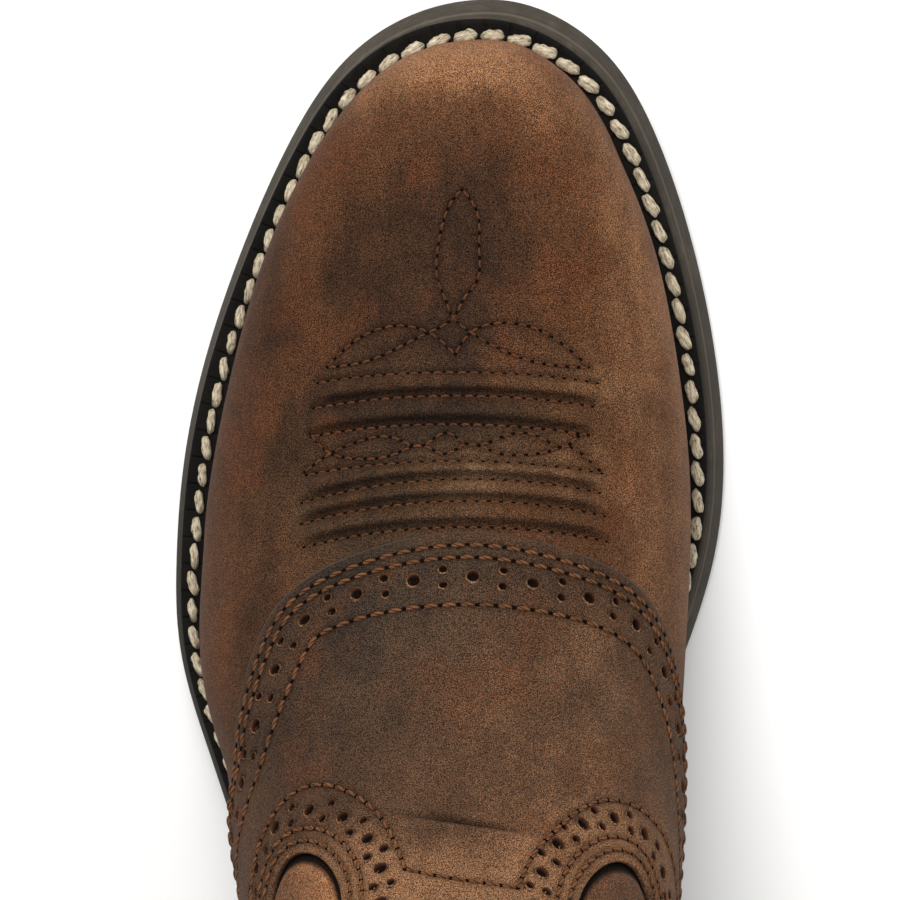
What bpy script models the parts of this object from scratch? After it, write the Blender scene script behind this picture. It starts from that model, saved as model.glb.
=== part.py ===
"""Left western boot with a round toe, built as the separate pieces a maker joins.

Lengths below are millimetres in the boot's own directions: `from_toe` runs back from the tip of the sole,
`lateral` and `medial` are outward and inward of the centre plane, `z` is the height over the floor.
The origin is the middle of the heel's tread, the toe points to -Y and the inner side of the foot to -X.
"""
from collections import namedtuple

import bmesh
import bpy
import numpy as np

MM = 0.001

# Driving sizes
SOLE_LENGTH = 292.0
BALL_WIDTH = 109.0
HEEL_RISE = 28.0
SCALLOP = 24.0
WALL = 2.2
CLEARANCE = 0.3

# Side profile of the outsole
TOE_SPRING = 8.0
SPRING_FROM_TOE = 72.0
FLAT_END_FROM_TOE = 126.0
BREAST_FROM_TOE = 222.0
OUTSOLE_THICKNESS = 9.0
EDGE_ROUND = 1.2
EDGE_HEIGHT = 1.5
SHOULDER_HEIGHT = 8.5
SHOULDER_INSET = 2.2
DECK_INSET = 2.7

# Welt and insole
WELT_THICKNESS = 3.4
WELT_INSET = 3.0
WELT_BEVEL = 0.5
WELT_INNER_INSET = 13.0
INSOLE_INSET = 13.4

# Heel block
HEEL_CENTRE_FROM_TOE = 258.0
HEEL_TOP_INSET = 0.8
HEEL_TREAD_INSET = 3.4
HEEL_BREAST_LEAN = 4.0
HEEL_EDGE = 1.0

# Foot of the upper on the welt: its share of the sole's half width, and its inset at toe and heel
FEATHER_SHARE = {"lateral": 0.86, "medial": 0.82}
FEATHER_TIP = 8.6
LAST_LENGTH = SOLE_LENGTH - 2 * FEATHER_TIP

# Saddle over the instep
SADDLE_THICKNESS = 1.5
SADDLE_GAP = 0.4

# How finely each form is divided
OUTLINE_STEPS = 60
HEEL_STEPS = 22
AROUND_STEPS = 28
SECTION_DETAIL = 121
SADDLE_ALONG = 68
SADDLE_BACK = 11
WINDOW_STEPS = 28

# Sole seen from above: stations as shares of the length, half widths as shares of the ball width
Outline = namedtuple("Outline", "from_toe lateral medial")
SOLE_OUTLINE = (
    Outline(0.0137, 0.1615, 0.134),
    Outline(0.041, 0.264, 0.224),
    Outline(0.096, 0.367, 0.308),
    Outline(0.178, 0.466, 0.378),
    Outline(0.260, 0.537, 0.418),
    Outline(0.329, 0.571, 0.427),
    Outline(0.384, 0.581, 0.409),
    Outline(0.452, 0.571, 0.352),
    Outline(0.521, 0.511, 0.285),
    Outline(0.616, 0.419, 0.232),
    Outline(0.702, 0.362, 0.234),
    Outline(0.788, 0.338, 0.272),
    Outline(0.880, 0.330, 0.310),
    Outline(0.959, 0.257, 0.252),
    Outline(0.986, 0.156, 0.156),
)

# Sections of the foot, toe to heel: each plane runs from its apex on the top line down to the welt.
# `widest` is the share of the section's height where it is widest, `roundness` the power of its top arc.
Foot = namedtuple("Foot", "name apex_from_tip apex_z seat_from_tip lateral medial widest roundness")
FOOT_SECTIONS = (
    Foot("toe front", 2.5, 33.0, 2.5, 13.2, 10.0, 0.30, 2.0),
    Foot("toe box", 10.0, 43.0, 10.0, 23.9, 18.5, 0.30, 2.05),
    Foot("toe", 22.0, 48.6, 22.0, 33.0, 25.9, 0.30, 2.1),
    Foot("toe top", 40.0, 52.0, 40.0, 42.0, 33.2, 0.28, 2.1),
    Foot("vamp front", 60.0, 56.0, 60.0, 48.2, 37.6, 0.28, 2.05),
    Foot("inner ball", 82.0, 62.5, 82.0, 52.8, 40.4, 0.28, 2.0),
    Foot("outer ball", 102.0, 72.5, 102.0, 54.4, 40.8, 0.30, 1.95),
    Foot("waist", 122.0, 86.5, 124.0, 51.6, 40.0, 0.36, 1.95),
    Foot("low instep", 141.0, 104.0, 152.0, 46.1, 39.0, 0.42, 1.95),
    Foot("instep", 157.0, 122.5, 186.0, 39.9, 37.9, 0.44, 2.0),
    Foot("throat", 167.5, 140.0, 228.0, 38.2, 37.4, 0.43, 2.0),
    Foot("heel corner", 172.5, 158.0, LAST_LENGTH, 37.4, 37.2, 0.41, 2.05),
)

# Sections of the shaft, ankle to collar: closed rings from the apex at the front to the back seam
Shaft = namedtuple("Shaft", "name apex_from_tip apex_z back_from_tip back_z lateral medial widest roundness")
SHAFT_SECTIONS = (
    Shaft("heel swell", 174.5, 178.0, 278.6, 78.0, 37.4, 37.2, 0.43, 2.1),
    Shaft("ankle", 174.5, 200.0, 275.5, 124.0, 39.4, 39.2, 0.46, 2.1),
    Shaft("lower leg", 172.5, 226.0, 275.0, 172.0, 43.4, 43.2, 0.48, 2.1),
    Shaft("calf", 168.5, 253.0, 278.0, 226.0, 49.0, 48.8, 0.50, 2.1),
    Shaft("collar", 164.0, 278.0, 282.0, 278.0, 54.0, 54.0, 0.50, 2.1),
)
CORNER = len(FOOT_SECTIONS)
COLLAR = CORNER + len(SHAFT_SECTIONS)

# Saddle edges in the upper's own directions: `around` is the share of the girth from the top line
# (-1 outer foot edge, +1 inner), `section` the place along the sections above.  The front edge runs
# from the outer side seam along the foot, over the instep and back to the inner side seam.
Edge = namedtuple("Edge", "front_around front_section top_around top_section")
SADDLE_EDGES = (
    Edge(-0.797, 11.08, -0.720, 11.22),
    Edge(-0.775, 10.50, -0.640, 11.37),
    Edge(-0.715, 9.86, -0.565, 11.56),
    Edge(-0.620, 9.24, -0.500, 11.80),
    Edge(-0.520, 8.80, -0.455, 12.15),
    Edge(-0.445, 8.08, -0.400, 12.60),
    Edge(-0.385, 7.34, -0.300, 12.90),
    Edge(-0.220, 6.86, -0.160, 13.05),
    Edge(0.000, 6.66, 0.000, 13.10),
    Edge(0.220, 6.82, 0.160, 13.05),
    Edge(0.400, 7.14, 0.300, 12.90),
    Edge(0.510, 7.56, 0.400, 12.60),
    Edge(0.565, 7.98, 0.455, 12.15),
    Edge(0.615, 8.50, 0.500, 11.80),
    Edge(0.665, 9.20, 0.565, 11.56),
    Edge(0.745, 9.90, 0.640, 11.37),
    Edge(0.820, 10.55, 0.710, 11.24),
    Edge(0.845, 11.02, 0.770, 11.14),
)

# Oval windows cut through the saddle, narrower toward the leg by `taper`
Window = namedtuple("Window", "name around section half_around half_section lean taper")
SADDLE_WINDOWS = (
    Window("outer window", -0.287, 10.50, 0.107, 0.98, 0.0, 0.25),
    Window("inner window", 0.325, 10.48, 0.112, 0.94, 0.0, 0.25),
)
WINDOW_DEPTH = 4.0

# Placing in the room
TO_ROOM = np.array([-MM, MM, MM])


def spline(knots, values, at):
    """Natural cubic curve through the values at the knots, read at `at`."""
    x, y, at = (np.asarray(v, float) for v in (knots, values, at))
    step = np.diff(x)
    slope = np.diff(y) / step
    matrix = np.diag(np.r_[1.0, 2 * (step[:-1] + step[1:]), 1.0])
    matrix += np.diag(np.r_[step[:-1], 0.0], -1) + np.diag(np.r_[0.0, step[1:]], 1)
    bend = np.linalg.solve(matrix, np.r_[0.0, 6 * np.diff(slope), 0.0])
    i = np.clip(np.searchsorted(x, at, side="right") - 1, 0, len(step) - 1)
    left = at - x[i]
    right = x[i + 1] - at
    curve = (bend[i] * right ** 3 + bend[i + 1] * left ** 3) / (6 * step[i])
    curve += (y[i] / step[i] - bend[i] * step[i] / 6) * right
    return curve + (y[i + 1] / step[i] - bend[i + 1] * step[i] / 6) * left


def column(rows, name):
    """One named column of a table."""
    return np.array([getattr(row, name) for row in rows], float)


def ease(share):
    """Smooth step from 0 to 1."""
    share = np.clip(share, 0.0, 1.0)
    return share * share * (3 - 2 * share)


def turn(share):
    """Angle whose swing from 0 to pi gives a share of a length, so that both ends come out round."""
    return np.arccos(np.clip(1 - 2 * np.asarray(share, float), -1.0, 1.0))


def half_width(side, angle):
    """Half width of the sole on one side at a turn of its length."""
    knots = np.r_[0.0, turn(column(SOLE_OUTLINE, "from_toe")), np.pi]
    return BALL_WIDTH * spline(knots, np.r_[0.0, column(SOLE_OUTLINE, side), 0.0], angle)


def tread(from_toe):
    """Height of the outsole's underside: toe spring, flat forefoot, rising waist, level heel."""
    spring = TOE_SPRING * np.clip(1 - from_toe / SPRING_FROM_TOE, 0.0, None) ** 2
    waist = (from_toe - FLAT_END_FROM_TOE) / (BREAST_FROM_TOE - FLAT_END_FROM_TOE)
    return spring + HEEL_RISE * ease(waist)


def deck(from_toe):
    """Height of the outsole's top."""
    return tread(from_toe) + OUTSOLE_THICKNESS


def welt_foot(from_toe):
    """Height of the underside of the welt and the insole."""
    return deck(from_toe) + CLEARANCE


def seat(from_toe):
    """Height of the upper's lower edge on the welt."""
    return welt_foot(from_toe) + WELT_THICKNESS + CLEARANCE


def ring(inset, rise=0.0, angle_from=0.0, steps=OUTLINE_STEPS):
    """Sole outline moved inward by `inset` and leaned back with the toe spring by `rise` over the tread.

    Returns (medial, from_toe) rows: the outer side from the front to the heel, then the inner side back.
    """
    angle = np.linspace(angle_from, np.pi, steps + 1)
    from_toe = SOLE_LENGTH * (1 - np.cos(angle)) / 2
    outer = np.c_[-half_width("lateral", angle), from_toe]
    inner = np.c_[half_width("medial", angle), from_toe]
    last = 0 if angle_from == 0.0 else None
    loop = np.r_[outer, inner[-2:last:-1]]
    along = np.roll(loop, -1, 0) - np.roll(loop, 1, 0)
    if angle_from > 0.0:
        along[0] = loop[1] - loop[0]
        along[-1] = loop[-1] - loop[-2]
    inward = np.c_[along[:, 1], -along[:, 0]]
    loop = loop + inset * inward / np.linalg.norm(inward, axis=1, keepdims=True)
    lean = 2 * TOE_SPRING / SPRING_FROM_TOE * np.clip(1 - loop[:, 1] / SPRING_FROM_TOE, 0.0, None)
    loop[:, 1] += rise * lean
    return loop


def raised(loop, z):
    """Outline given heights."""
    return np.c_[loop, np.broadcast_to(z, len(loop))]


def cap(count):
    """Faces that join a loop's two sides: strips from each outer point to the inner point beside it."""
    half = count // 2
    if count % 2:
        pairs = [(i, i + 1, count - 2 - i, count - 1 - i) for i in range(half - 1)]
        return pairs + [(half - 1, half, half + 1)]
    strips = [(i, i + 1, count - i - 1, count - i) for i in range(1, half - 1)]
    return [(0, 1, count - 1)] + strips + [(half - 1, half, half + 1)]


def bands(levels, count, closed=False):
    """Quads between neighbouring loops of `count` points."""
    rows = levels if closed else levels - 1
    i = np.arange(count)
    faces = []
    for level in range(rows):
        low = level * count
        high = (level + 1) % levels * count
        faces += np.c_[low + i, low + (i + 1) % count, high + (i + 1) % count, high + i].tolist()
    return faces


def add_piece(name, points, faces, material, collection):
    """Mesh object from points in the boot's directions, welded and facing out."""
    mesh = bpy.data.meshes.new(name)
    mesh.from_pydata((np.asarray(points) * TO_ROOM - ROOM_ORIGIN).tolist(), [], faces)
    shape = bmesh.new()
    shape.from_mesh(mesh)
    bmesh.ops.remove_doubles(shape, verts=shape.verts, dist=0.00001)
    bmesh.ops.recalc_face_normals(shape, faces=shape.faces)
    shape.to_mesh(mesh)
    shape.free()
    mesh.materials.append(material)
    piece = bpy.data.objects.new(name, mesh)
    collection.objects.link(piece)
    return piece


def add_stack(name, loops, material, collection):
    """Solid from loops laid on each other, closed underneath and on top."""
    count = len(loops[0])
    under = [face[::-1] for face in cap(count)]
    top = [tuple(i + (len(loops) - 1) * count for i in face) for face in cap(count)]
    return add_piece(name, np.vstack(loops), bands(len(loops), count) + under + top, material, collection)


def section_table(station):
    """Apex, base, half widths and form of the sections at the stations, read between the tables' rows."""
    start = Foot("tip", 0.0, float(seat(FEATHER_TIP)), 0.0, 0.0, 0.0, *FOOT_SECTIONS[0][6:])
    foot = (start,) + FOOT_SECTIONS
    rows = foot + SHAFT_SECTIONS
    knots = np.arange(len(rows))
    apex_turn = spline(knots, turn(column(rows, "apex_from_tip") / LAST_LENGTH), station)
    on_welt = np.minimum(station, CORNER)
    seat_turn = spline(knots[:CORNER + 1], turn(column(foot, "seat_from_tip") / LAST_LENGTH), on_welt)
    seat_turn = np.where(station < CORNER, seat_turn, np.pi)
    seat_from_toe = FEATHER_TIP + LAST_LENGTH * (1 - np.cos(seat_turn)) / 2
    on_back = np.maximum(station, CORNER)
    heel = FEATHER_TIP + LAST_LENGTH
    back_from_toe = np.r_[heel, FEATHER_TIP + column(SHAFT_SECTIONS, "back_from_tip")]
    back_z = np.r_[seat(heel), column(SHAFT_SECTIONS, "back_z")]
    table = {name: spline(knots, column(rows, name), station)
             for name in ("apex_z", "lateral", "medial", "widest", "roundness")}
    table["apex_from_toe"] = FEATHER_TIP + LAST_LENGTH * (1 - np.cos(apex_turn)) / 2
    back = spline(knots[CORNER:], back_from_toe, on_back)
    table["base_from_toe"] = np.where(station > CORNER, back, seat_from_toe)
    table["base_z"] = np.where(station > CORNER, spline(knots[CORNER:], back_z, on_back), seat(seat_from_toe))
    for side in ("lateral", "medial"):
        table[side + "_base"] = FEATHER_SHARE[side] * half_width(side, seat_turn)
    return table


def half_section(widest_half, base_half, height, widest, roundness):
    """Half sections, apex to base: a round quarter arc to the widest place, part of an ellipse below."""
    half = np.maximum(widest_half, base_half * 1.004)[:, None]
    low = np.arccos(np.clip(base_half / np.maximum(half[:, 0], 1e-9), 0.0, 0.996))[:, None]
    level = (widest * height)[:, None]
    share = np.linspace(0.0, 1.0, SECTION_DETAIL)[None]
    above = share < 0.5
    upper_arc = np.where(above, (1 - 2 * share) * np.pi / 2, 0.0)
    lower_arc = np.where(above, 0.0, (2 * share - 1) * low)
    power = (2 / roundness)[:, None]
    across = np.where(above, half * np.cos(upper_arc) ** power, half * np.cos(lower_arc))
    top = level + (height[:, None] - level) * np.sin(upper_arc) ** power
    return across, np.where(above, top, level - level * np.sin(lower_arc) / np.sin(low))


def boot_skin(station, around):
    """Outer surface of the upper: a point for each pair of station along the sections and share of the girth.

    Each section is walked by its own length from the apex, and the collar's sides are lifted to a scallop.
    """
    shape = np.broadcast_shapes(np.shape(station), np.shape(around))
    station = np.broadcast_to(station, shape).ravel()
    around = np.broadcast_to(around, shape).ravel()
    table = section_table(station)
    rise = np.c_[table["apex_from_toe"] - table["base_from_toe"], table["apex_z"] - table["base_z"]]
    height = np.linalg.norm(rise, axis=1)
    points = np.empty((len(station), 3))
    pick = np.arange(len(station))
    for side, sign in (("lateral", -1), ("medial", 1)):
        form = (table[side], table[side + "_base"], height, table["widest"], table["roundness"])
        across, up = half_section(*form)
        run = np.c_[np.zeros(len(station)), np.cumsum(np.hypot(np.diff(across), np.diff(up)), 1)]
        walked = np.abs(around) * run[:, -1]
        i = np.clip((run <= walked[:, None]).sum(1) - 1, 0, SECTION_DETAIL - 2)
        part = (walked - run[pick, i]) / np.maximum(run[pick, i + 1] - run[pick, i], 1e-9)
        x = across[pick, i] + part * (across[pick, i + 1] - across[pick, i])
        h = (up[pick, i] + part * (up[pick, i + 1] - up[pick, i])) / np.maximum(height, 1e-9)
        place = np.c_[sign * x, table["base_from_toe"] + rise[:, 0] * h, table["base_z"] + rise[:, 1] * h]
        points = np.where((around * sign >= 0)[:, None], place, points)
    lift = ease((station - CORNER - 2) / (COLLAR - CORNER - 2)) * np.sin(np.pi * np.abs(around)) ** 2
    points[:, 2] += SCALLOP * lift
    return points.reshape(shape + (3,))


def skin_normal(station, around):
    """Outward direction of the upper's surface, from small steps along and around it."""
    step = 0.004
    ahead = np.clip(station + step, 0.02, COLLAR)
    behind = np.clip(station - step, 0.0, COLLAR - step)
    along = boot_skin(ahead, around) - boot_skin(behind, around)
    right = np.clip(around + step, -1.0, 1.0)
    left = np.clip(around - step, -1.0, 1.0)
    girth = boot_skin(np.maximum(station, 0.05), right) - boot_skin(np.maximum(station, 0.05), left)
    normal = np.cross(girth, along)
    return normal / np.maximum(np.linalg.norm(normal, axis=-1, keepdims=True), 1e-12)


def grid_faces(rows, columns):
    """Quads of a grid of points stored row by row."""
    i = (np.arange(rows - 1)[:, None] * columns + np.arange(columns - 1)[None]).ravel()
    return np.c_[i, i + 1, i + columns + 1, i + columns].tolist()


def rim(loop, shift):
    """Quads that close a wall along a list of edge points, the other face stored `shift` points later."""
    first = np.array(loop[:-1])
    second = np.array(loop[1:])
    return np.c_[first, second, second + shift, first + shift].tolist()


def build_upper(material, collection):
    """Foot and shaft as one hollow wall, open at the collar and over the insole."""
    foot, heel, leg = np.linspace(0.0, 10.0, 26), np.linspace(10.0, 13.0, 13), np.linspace(13.0, COLLAR, 9)
    station = np.r_[foot[:-1], heel[:-1], leg]
    around = np.linspace(-1.0, 1.0, AROUND_STEPS + 1)
    rows, columns = len(station), len(around)
    place = np.meshgrid(station, around, indexing="ij")
    outside = boot_skin(*place)
    normal = skin_normal(*place)
    normal[0] = (0.0, -1.0, 0.0)
    level = (station < CORNER)[:, None] & (np.abs(around) == 1.0)[None]
    normal[level, 2] = 0.0
    closed = station >= CORNER
    seam = normal[closed, 0] + normal[closed, -1]
    seam[:, 0] = 0.0
    normal[closed, 0] = seam
    normal[closed, -1] = seam
    normal /= np.linalg.norm(normal, axis=-1, keepdims=True)
    inside = outside - WALL * normal
    total = rows * columns
    shell = grid_faces(rows, columns)
    faces = shell + [tuple(i + total for i in face[::-1]) for face in shell]
    faces += rim([(rows - 1) * columns + i for i in range(columns)], total)
    foot_rows = int(np.searchsorted(station, CORNER)) + 1
    faces += rim([i * columns for i in range(foot_rows)], total)
    faces += rim([i * columns + columns - 1 for i in range(foot_rows)], total)
    points = np.r_[outside.reshape(-1, 3), inside.reshape(-1, 3)]
    return add_piece("upper", points, faces, material, collection)


def saddle_grid(along, back):
    """Station and girth share over the saddle, from its front edge (back 0) to its top edge (back 1)."""
    knots = np.linspace(0.0, 1.0, len(SADDLE_EDGES))
    read = {name: spline(knots, column(SADDLE_EDGES, name), along) for name in Edge._fields}
    section = read["front_section"] + back * (read["top_section"] - read["front_section"])
    return section, read["front_around"] + back * (read["top_around"] - read["front_around"])


def build_saddle(material, collection, cutters):
    """Thin cover over the instep, standing off the upper by a hair, with two oval windows cut through."""
    along = np.linspace(0.0, 1.0, SADDLE_ALONG + 1)[:, None]
    back = np.linspace(0.0, 1.0, SADDLE_BACK + 1)[None]
    place = saddle_grid(along, back)
    skin = boot_skin(*place)
    normal = skin_normal(*place)
    rows, columns = SADDLE_ALONG + 1, SADDLE_BACK + 1
    total = rows * columns
    shell = grid_faces(rows, columns)
    faces = shell + [tuple(i + total for i in face[::-1]) for face in shell]
    border = [i * columns for i in range(rows)]
    border += [(rows - 1) * columns + j for j in range(1, columns)]
    border += [i * columns + columns - 1 for i in range(rows - 2, -1, -1)]
    border += [j for j in range(columns - 2, -1, -1)]
    faces += rim(border, total)
    levels = [skin + (SADDLE_GAP + rise) * normal for rise in (SADDLE_THICKNESS, 0.0)]
    points = np.vstack([level.reshape(-1, 3) for level in levels])
    saddle = add_piece("saddle", points, faces, material, collection)
    angle = np.linspace(0.0, 2 * np.pi, WINDOW_STEPS, endpoint=False)
    for window in SADDLE_WINDOWS:
        section = window.section + window.half_section * np.cos(angle)
        spread = window.half_around * (1 - window.taper * np.cos(angle))
        turned = window.around + spread * np.sin(angle) + window.lean * np.cos(angle)
        edge = boot_skin(section, turned)
        outward = skin_normal(section, turned)
        middle = boot_skin(np.array([window.section]), np.array([window.around]))
        straight = skin_normal(np.array([window.section]), np.array([window.around]))
        points = np.vstack([edge - WINDOW_DEPTH * outward, edge + WINDOW_DEPTH * outward,
                            middle - WINDOW_DEPTH * straight, middle + WINDOW_DEPTH * straight])
        count = WINDOW_STEPS
        sides = bands(2, count)
        ends = [(2 * count, (i + 1) % count, i) for i in range(count)]
        ends += [(2 * count + 1, count + i, count + (i + 1) % count) for i in range(count)]
        cutter = add_piece("cut_" + window.name.replace(" ", "_"), points, sides + ends, material, cutters)
        cutter.hide_render = True
        cutter.display_type = "WIRE"
        cut = saddle.modifiers.new(window.name, "BOOLEAN")
        cut.operation = "DIFFERENCE"
        cut.solver = "EXACT"
        cut.object = cutter
    saddle.modifiers.new("triangles", "TRIANGULATE")
    return saddle


def build_sole(materials, collection):
    """Outsole with flared walls, heel block, welt ring and the insole lying inside it."""
    layers = (
        (EDGE_ROUND, 0.0),
        (0.0, EDGE_HEIGHT),
        (SHOULDER_INSET, SHOULDER_HEIGHT),
        (DECK_INSET, OUTSOLE_THICKNESS),
    )
    loops = []
    for inset, height in layers:
        loop = ring(inset, height)
        loops.append(raised(loop, tread(loop[:, 1]) + height))
    add_stack("outsole", loops, materials["outsole"], collection)

    top = WELT_THICKNESS
    corners = (
        (WELT_INNER_INSET, 0.0),
        (WELT_INSET, 0.0),
        (WELT_INSET, top - WELT_BEVEL),
        (WELT_INSET + WELT_BEVEL, top),
        (WELT_INNER_INSET, top),
    )
    loops = []
    for inset, height in corners:
        loop = ring(inset, OUTSOLE_THICKNESS)
        loops.append(raised(loop, welt_foot(loop[:, 1]) + height))
    count = len(loops[0])
    add_piece("welt", np.vstack(loops), bands(len(loops), count, closed=True), materials["welt"], collection)

    loop = ring(INSOLE_INSET, OUTSOLE_THICKNESS)
    under = welt_foot(loop[:, 1])
    loops = [raised(loop, under), raised(loop, under + WELT_THICKNESS)]
    add_stack("insole", loops, materials["insole"], collection)

    heel_top = HEEL_RISE - CLEARANCE
    heel_layers = (
        (HEEL_TREAD_INSET + HEEL_EDGE, HEEL_BREAST_LEAN, 0.0),
        (HEEL_TREAD_INSET, HEEL_BREAST_LEAN - HEEL_EDGE, HEEL_EDGE),
        (HEEL_TOP_INSET, 0.0, heel_top),
    )
    loops = []
    for inset, lean, height in heel_layers:
        front = BREAST_FROM_TOE + CLEARANCE + lean
        loop = ring(inset, 0.0, float(turn(front / SOLE_LENGTH)), HEEL_STEPS)
        loop[[0, -1], 1] = front
        loops.append(raised(loop, height))
    add_stack("heel", loops, materials["heel"], collection)


def make_material(name, colour, roughness):
    """Plain shader for one piece."""
    material = bpy.data.materials.new(name)
    material.use_nodes = True
    shader = material.node_tree.nodes["Principled BSDF"]
    shader.inputs["Base Color"].default_value = (*colour, 1.0)
    shader.inputs["Roughness"].default_value = roughness
    material.diffuse_color = (*colour, 1.0)
    return material


def make_collection(name):
    """Collection in the scene."""
    collection = bpy.data.collections.new(name)
    bpy.context.scene.collection.children.link(collection)
    return collection


for item in list(bpy.data.objects):
    bpy.data.objects.remove(item, do_unlink=True)

ROOM_ORIGIN = np.array([0.0, HEEL_CENTRE_FROM_TOE * MM, 0.0])
boot = make_collection("western_boot")
cutters = make_collection("cutters")
cutters.hide_render = True
materials = {
    "outsole": make_material("outsole_rubber", (0.13, 0.11, 0.095), 0.7),
    "heel": make_material("heel_rubber", (0.10, 0.085, 0.075), 0.7),
    "welt": make_material("welt_rubber", (0.012, 0.011, 0.011), 0.6),
    "insole": make_material("insole_leather", (0.42, 0.28, 0.16), 0.75),
    "upper": make_material("upper_leather", (0.14, 0.062, 0.028), 0.6),
    "saddle": make_material("saddle_leather", (0.11, 0.05, 0.025), 0.6),
}
build_sole(materials, boot)
build_upper(materials["upper"], boot)
build_saddle(materials["saddle"], boot, cutters)
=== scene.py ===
# %% [markdown]
# # A left western boot, seen from above
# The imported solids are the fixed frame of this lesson: they say how long, wide and high every piece is.
# Here each solid gets a finer skin worked out from the same sections, and then the work that a boot maker
# adds by hand: puckered rows, stitched petals, a punched saddle, a sewn welt and an oiled, rubbed leather.

# %% Load the frame
from collections import namedtuple

import bmesh
import bpy
import numpy as np
from mathutils import Matrix


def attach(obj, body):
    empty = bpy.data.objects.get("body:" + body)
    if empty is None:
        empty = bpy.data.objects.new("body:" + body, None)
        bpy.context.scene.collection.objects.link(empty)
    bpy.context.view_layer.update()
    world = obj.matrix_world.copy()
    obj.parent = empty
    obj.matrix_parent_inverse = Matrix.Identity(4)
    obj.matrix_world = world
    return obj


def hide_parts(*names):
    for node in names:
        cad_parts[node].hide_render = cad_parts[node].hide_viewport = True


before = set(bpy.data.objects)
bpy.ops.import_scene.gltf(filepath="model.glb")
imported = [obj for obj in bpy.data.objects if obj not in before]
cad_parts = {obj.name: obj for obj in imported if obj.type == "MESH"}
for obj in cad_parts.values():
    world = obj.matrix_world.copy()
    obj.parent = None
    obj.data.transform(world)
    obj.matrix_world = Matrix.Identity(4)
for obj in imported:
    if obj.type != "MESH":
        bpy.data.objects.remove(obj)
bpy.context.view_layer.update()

print("nodes:", sorted(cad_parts))

# %% [markdown]
# ## The boot's own directions
# A maker measures a boot along the foot, so every length below is in millimetres: `medial` is inward of the
# centre plane, `from_toe` runs back from the tip of the sole and `z` is the height over the floor.
# One small function turns those into the room, where the toe points to -Y and the inner side to -X.

# %% Directions and driving sizes
MM = 0.001
HEEL_CENTRE = 258.0
SOLE_LENGTH = 292.0
BALL_WIDTH = 109.0
HEEL_RISE = 28.0
SCALLOP = 24.0
WALL = 2.2
CLEARANCE = 0.3
TOE_SPRING = 8.0
SPRING_FROM_TOE = 72.0
FLAT_END = 126.0
BREAST = 222.0
OUTSOLE_THICKNESS = 9.0
WELT_THICKNESS = 3.4
FEATHER_TIP = 8.6
FEATHER_SHARE = {"lateral": 0.86, "medial": 0.82}
LAST_LENGTH = SOLE_LENGTH - 2 * FEATHER_TIP


def to_room(points):
    """Boot millimetres to room metres: medial turns to -X, from_toe to +Y with the heel at the origin."""
    return np.asarray(points) * (-MM, MM, MM) - (0.0, HEEL_CENTRE * MM, 0.0)


print("sole tip in the room:", to_room([0.0, 0.0, 0.0]))

# %% [markdown]
# ## Curves
# Fair curves come from few numbers. A natural cubic spline passes through the rows of a table with the least
# bending, as a draughtsman's batten does, and an eased step joins two levels without a corner.


# %% Curve helpers
def spline(knots, values, at):
    """Natural cubic curve through the values at the knots, read at `at`."""
    x, y, at = (np.asarray(v, float) for v in (knots, values, at))
    step = np.diff(x)
    slope = np.diff(y) / step
    matrix = np.diag(np.r_[1.0, 2 * (step[:-1] + step[1:]), 1.0])
    matrix += np.diag(np.r_[step[:-1], 0.0], -1) + np.diag(np.r_[0.0, step[1:]], 1)
    bend = np.linalg.solve(matrix, np.r_[0.0, 6 * np.diff(slope), 0.0])
    i = np.clip(np.searchsorted(x, at, side="right") - 1, 0, len(step) - 1)
    left, right = at - x[i], x[i + 1] - at
    curve = (bend[i] * right ** 3 + bend[i + 1] * left ** 3) / (6 * step[i])
    curve += (y[i] / step[i] - bend[i] * step[i] / 6) * right
    return curve + (y[i + 1] / step[i] - bend[i + 1] * step[i] / 6) * left


def column(rows, name):
    """One named column of a table."""
    return np.array([getattr(row, name) for row in rows], float)


def ease(share):
    """Smooth step: 3 s squared minus 2 s cubed between 0 and 1."""
    share = np.clip(share, 0.0, 1.0)
    return share * share * (3 - 2 * share)


def turn(share):
    """Angle whose swing from 0 to pi gives a share of a length, so that both ends come out round."""
    return np.arccos(np.clip(1 - 2 * np.asarray(share, float), -1.0, 1.0))


def unit(vectors):
    """Vectors scaled to length one."""
    return vectors / np.maximum(np.linalg.norm(vectors, axis=-1, keepdims=True), 1e-12)


def run_along(points):
    """Length along a path up to each of its points."""
    return np.r_[0.0, np.cumsum(np.linalg.norm(np.diff(points, axis=0), axis=1))]


print("half way of an eased step:", ease(0.5))

# %% [markdown]
# ## The sole's outline and the heights over it
# The sole is a paper pattern: half widths on the outer and inner side at shares of its length. The same
# pattern, moved inward, gives the welt, the stitch line and the insole, so they all run parallel.

# %% Outline and heights
Outline = namedtuple("Outline", "from_toe lateral medial")
SOLE_OUTLINE = (
    Outline(0.0137, 0.1615, 0.134),
    Outline(0.041, 0.264, 0.224),
    Outline(0.096, 0.367, 0.308),
    Outline(0.178, 0.466, 0.378),
    Outline(0.260, 0.537, 0.418),
    Outline(0.329, 0.571, 0.427),
    Outline(0.384, 0.581, 0.409),
    Outline(0.452, 0.571, 0.352),
    Outline(0.521, 0.511, 0.285),
    Outline(0.616, 0.419, 0.232),
    Outline(0.702, 0.362, 0.234),
    Outline(0.788, 0.338, 0.272),
    Outline(0.880, 0.330, 0.310),
    Outline(0.959, 0.257, 0.252),
    Outline(0.986, 0.156, 0.156),
)


def half_width(side, angle):
    """Half width of the sole on one side at a turn of its length."""
    knots = np.r_[0.0, turn(column(SOLE_OUTLINE, "from_toe")), np.pi]
    return BALL_WIDTH * spline(knots, np.r_[0.0, column(SOLE_OUTLINE, side), 0.0], angle)


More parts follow.
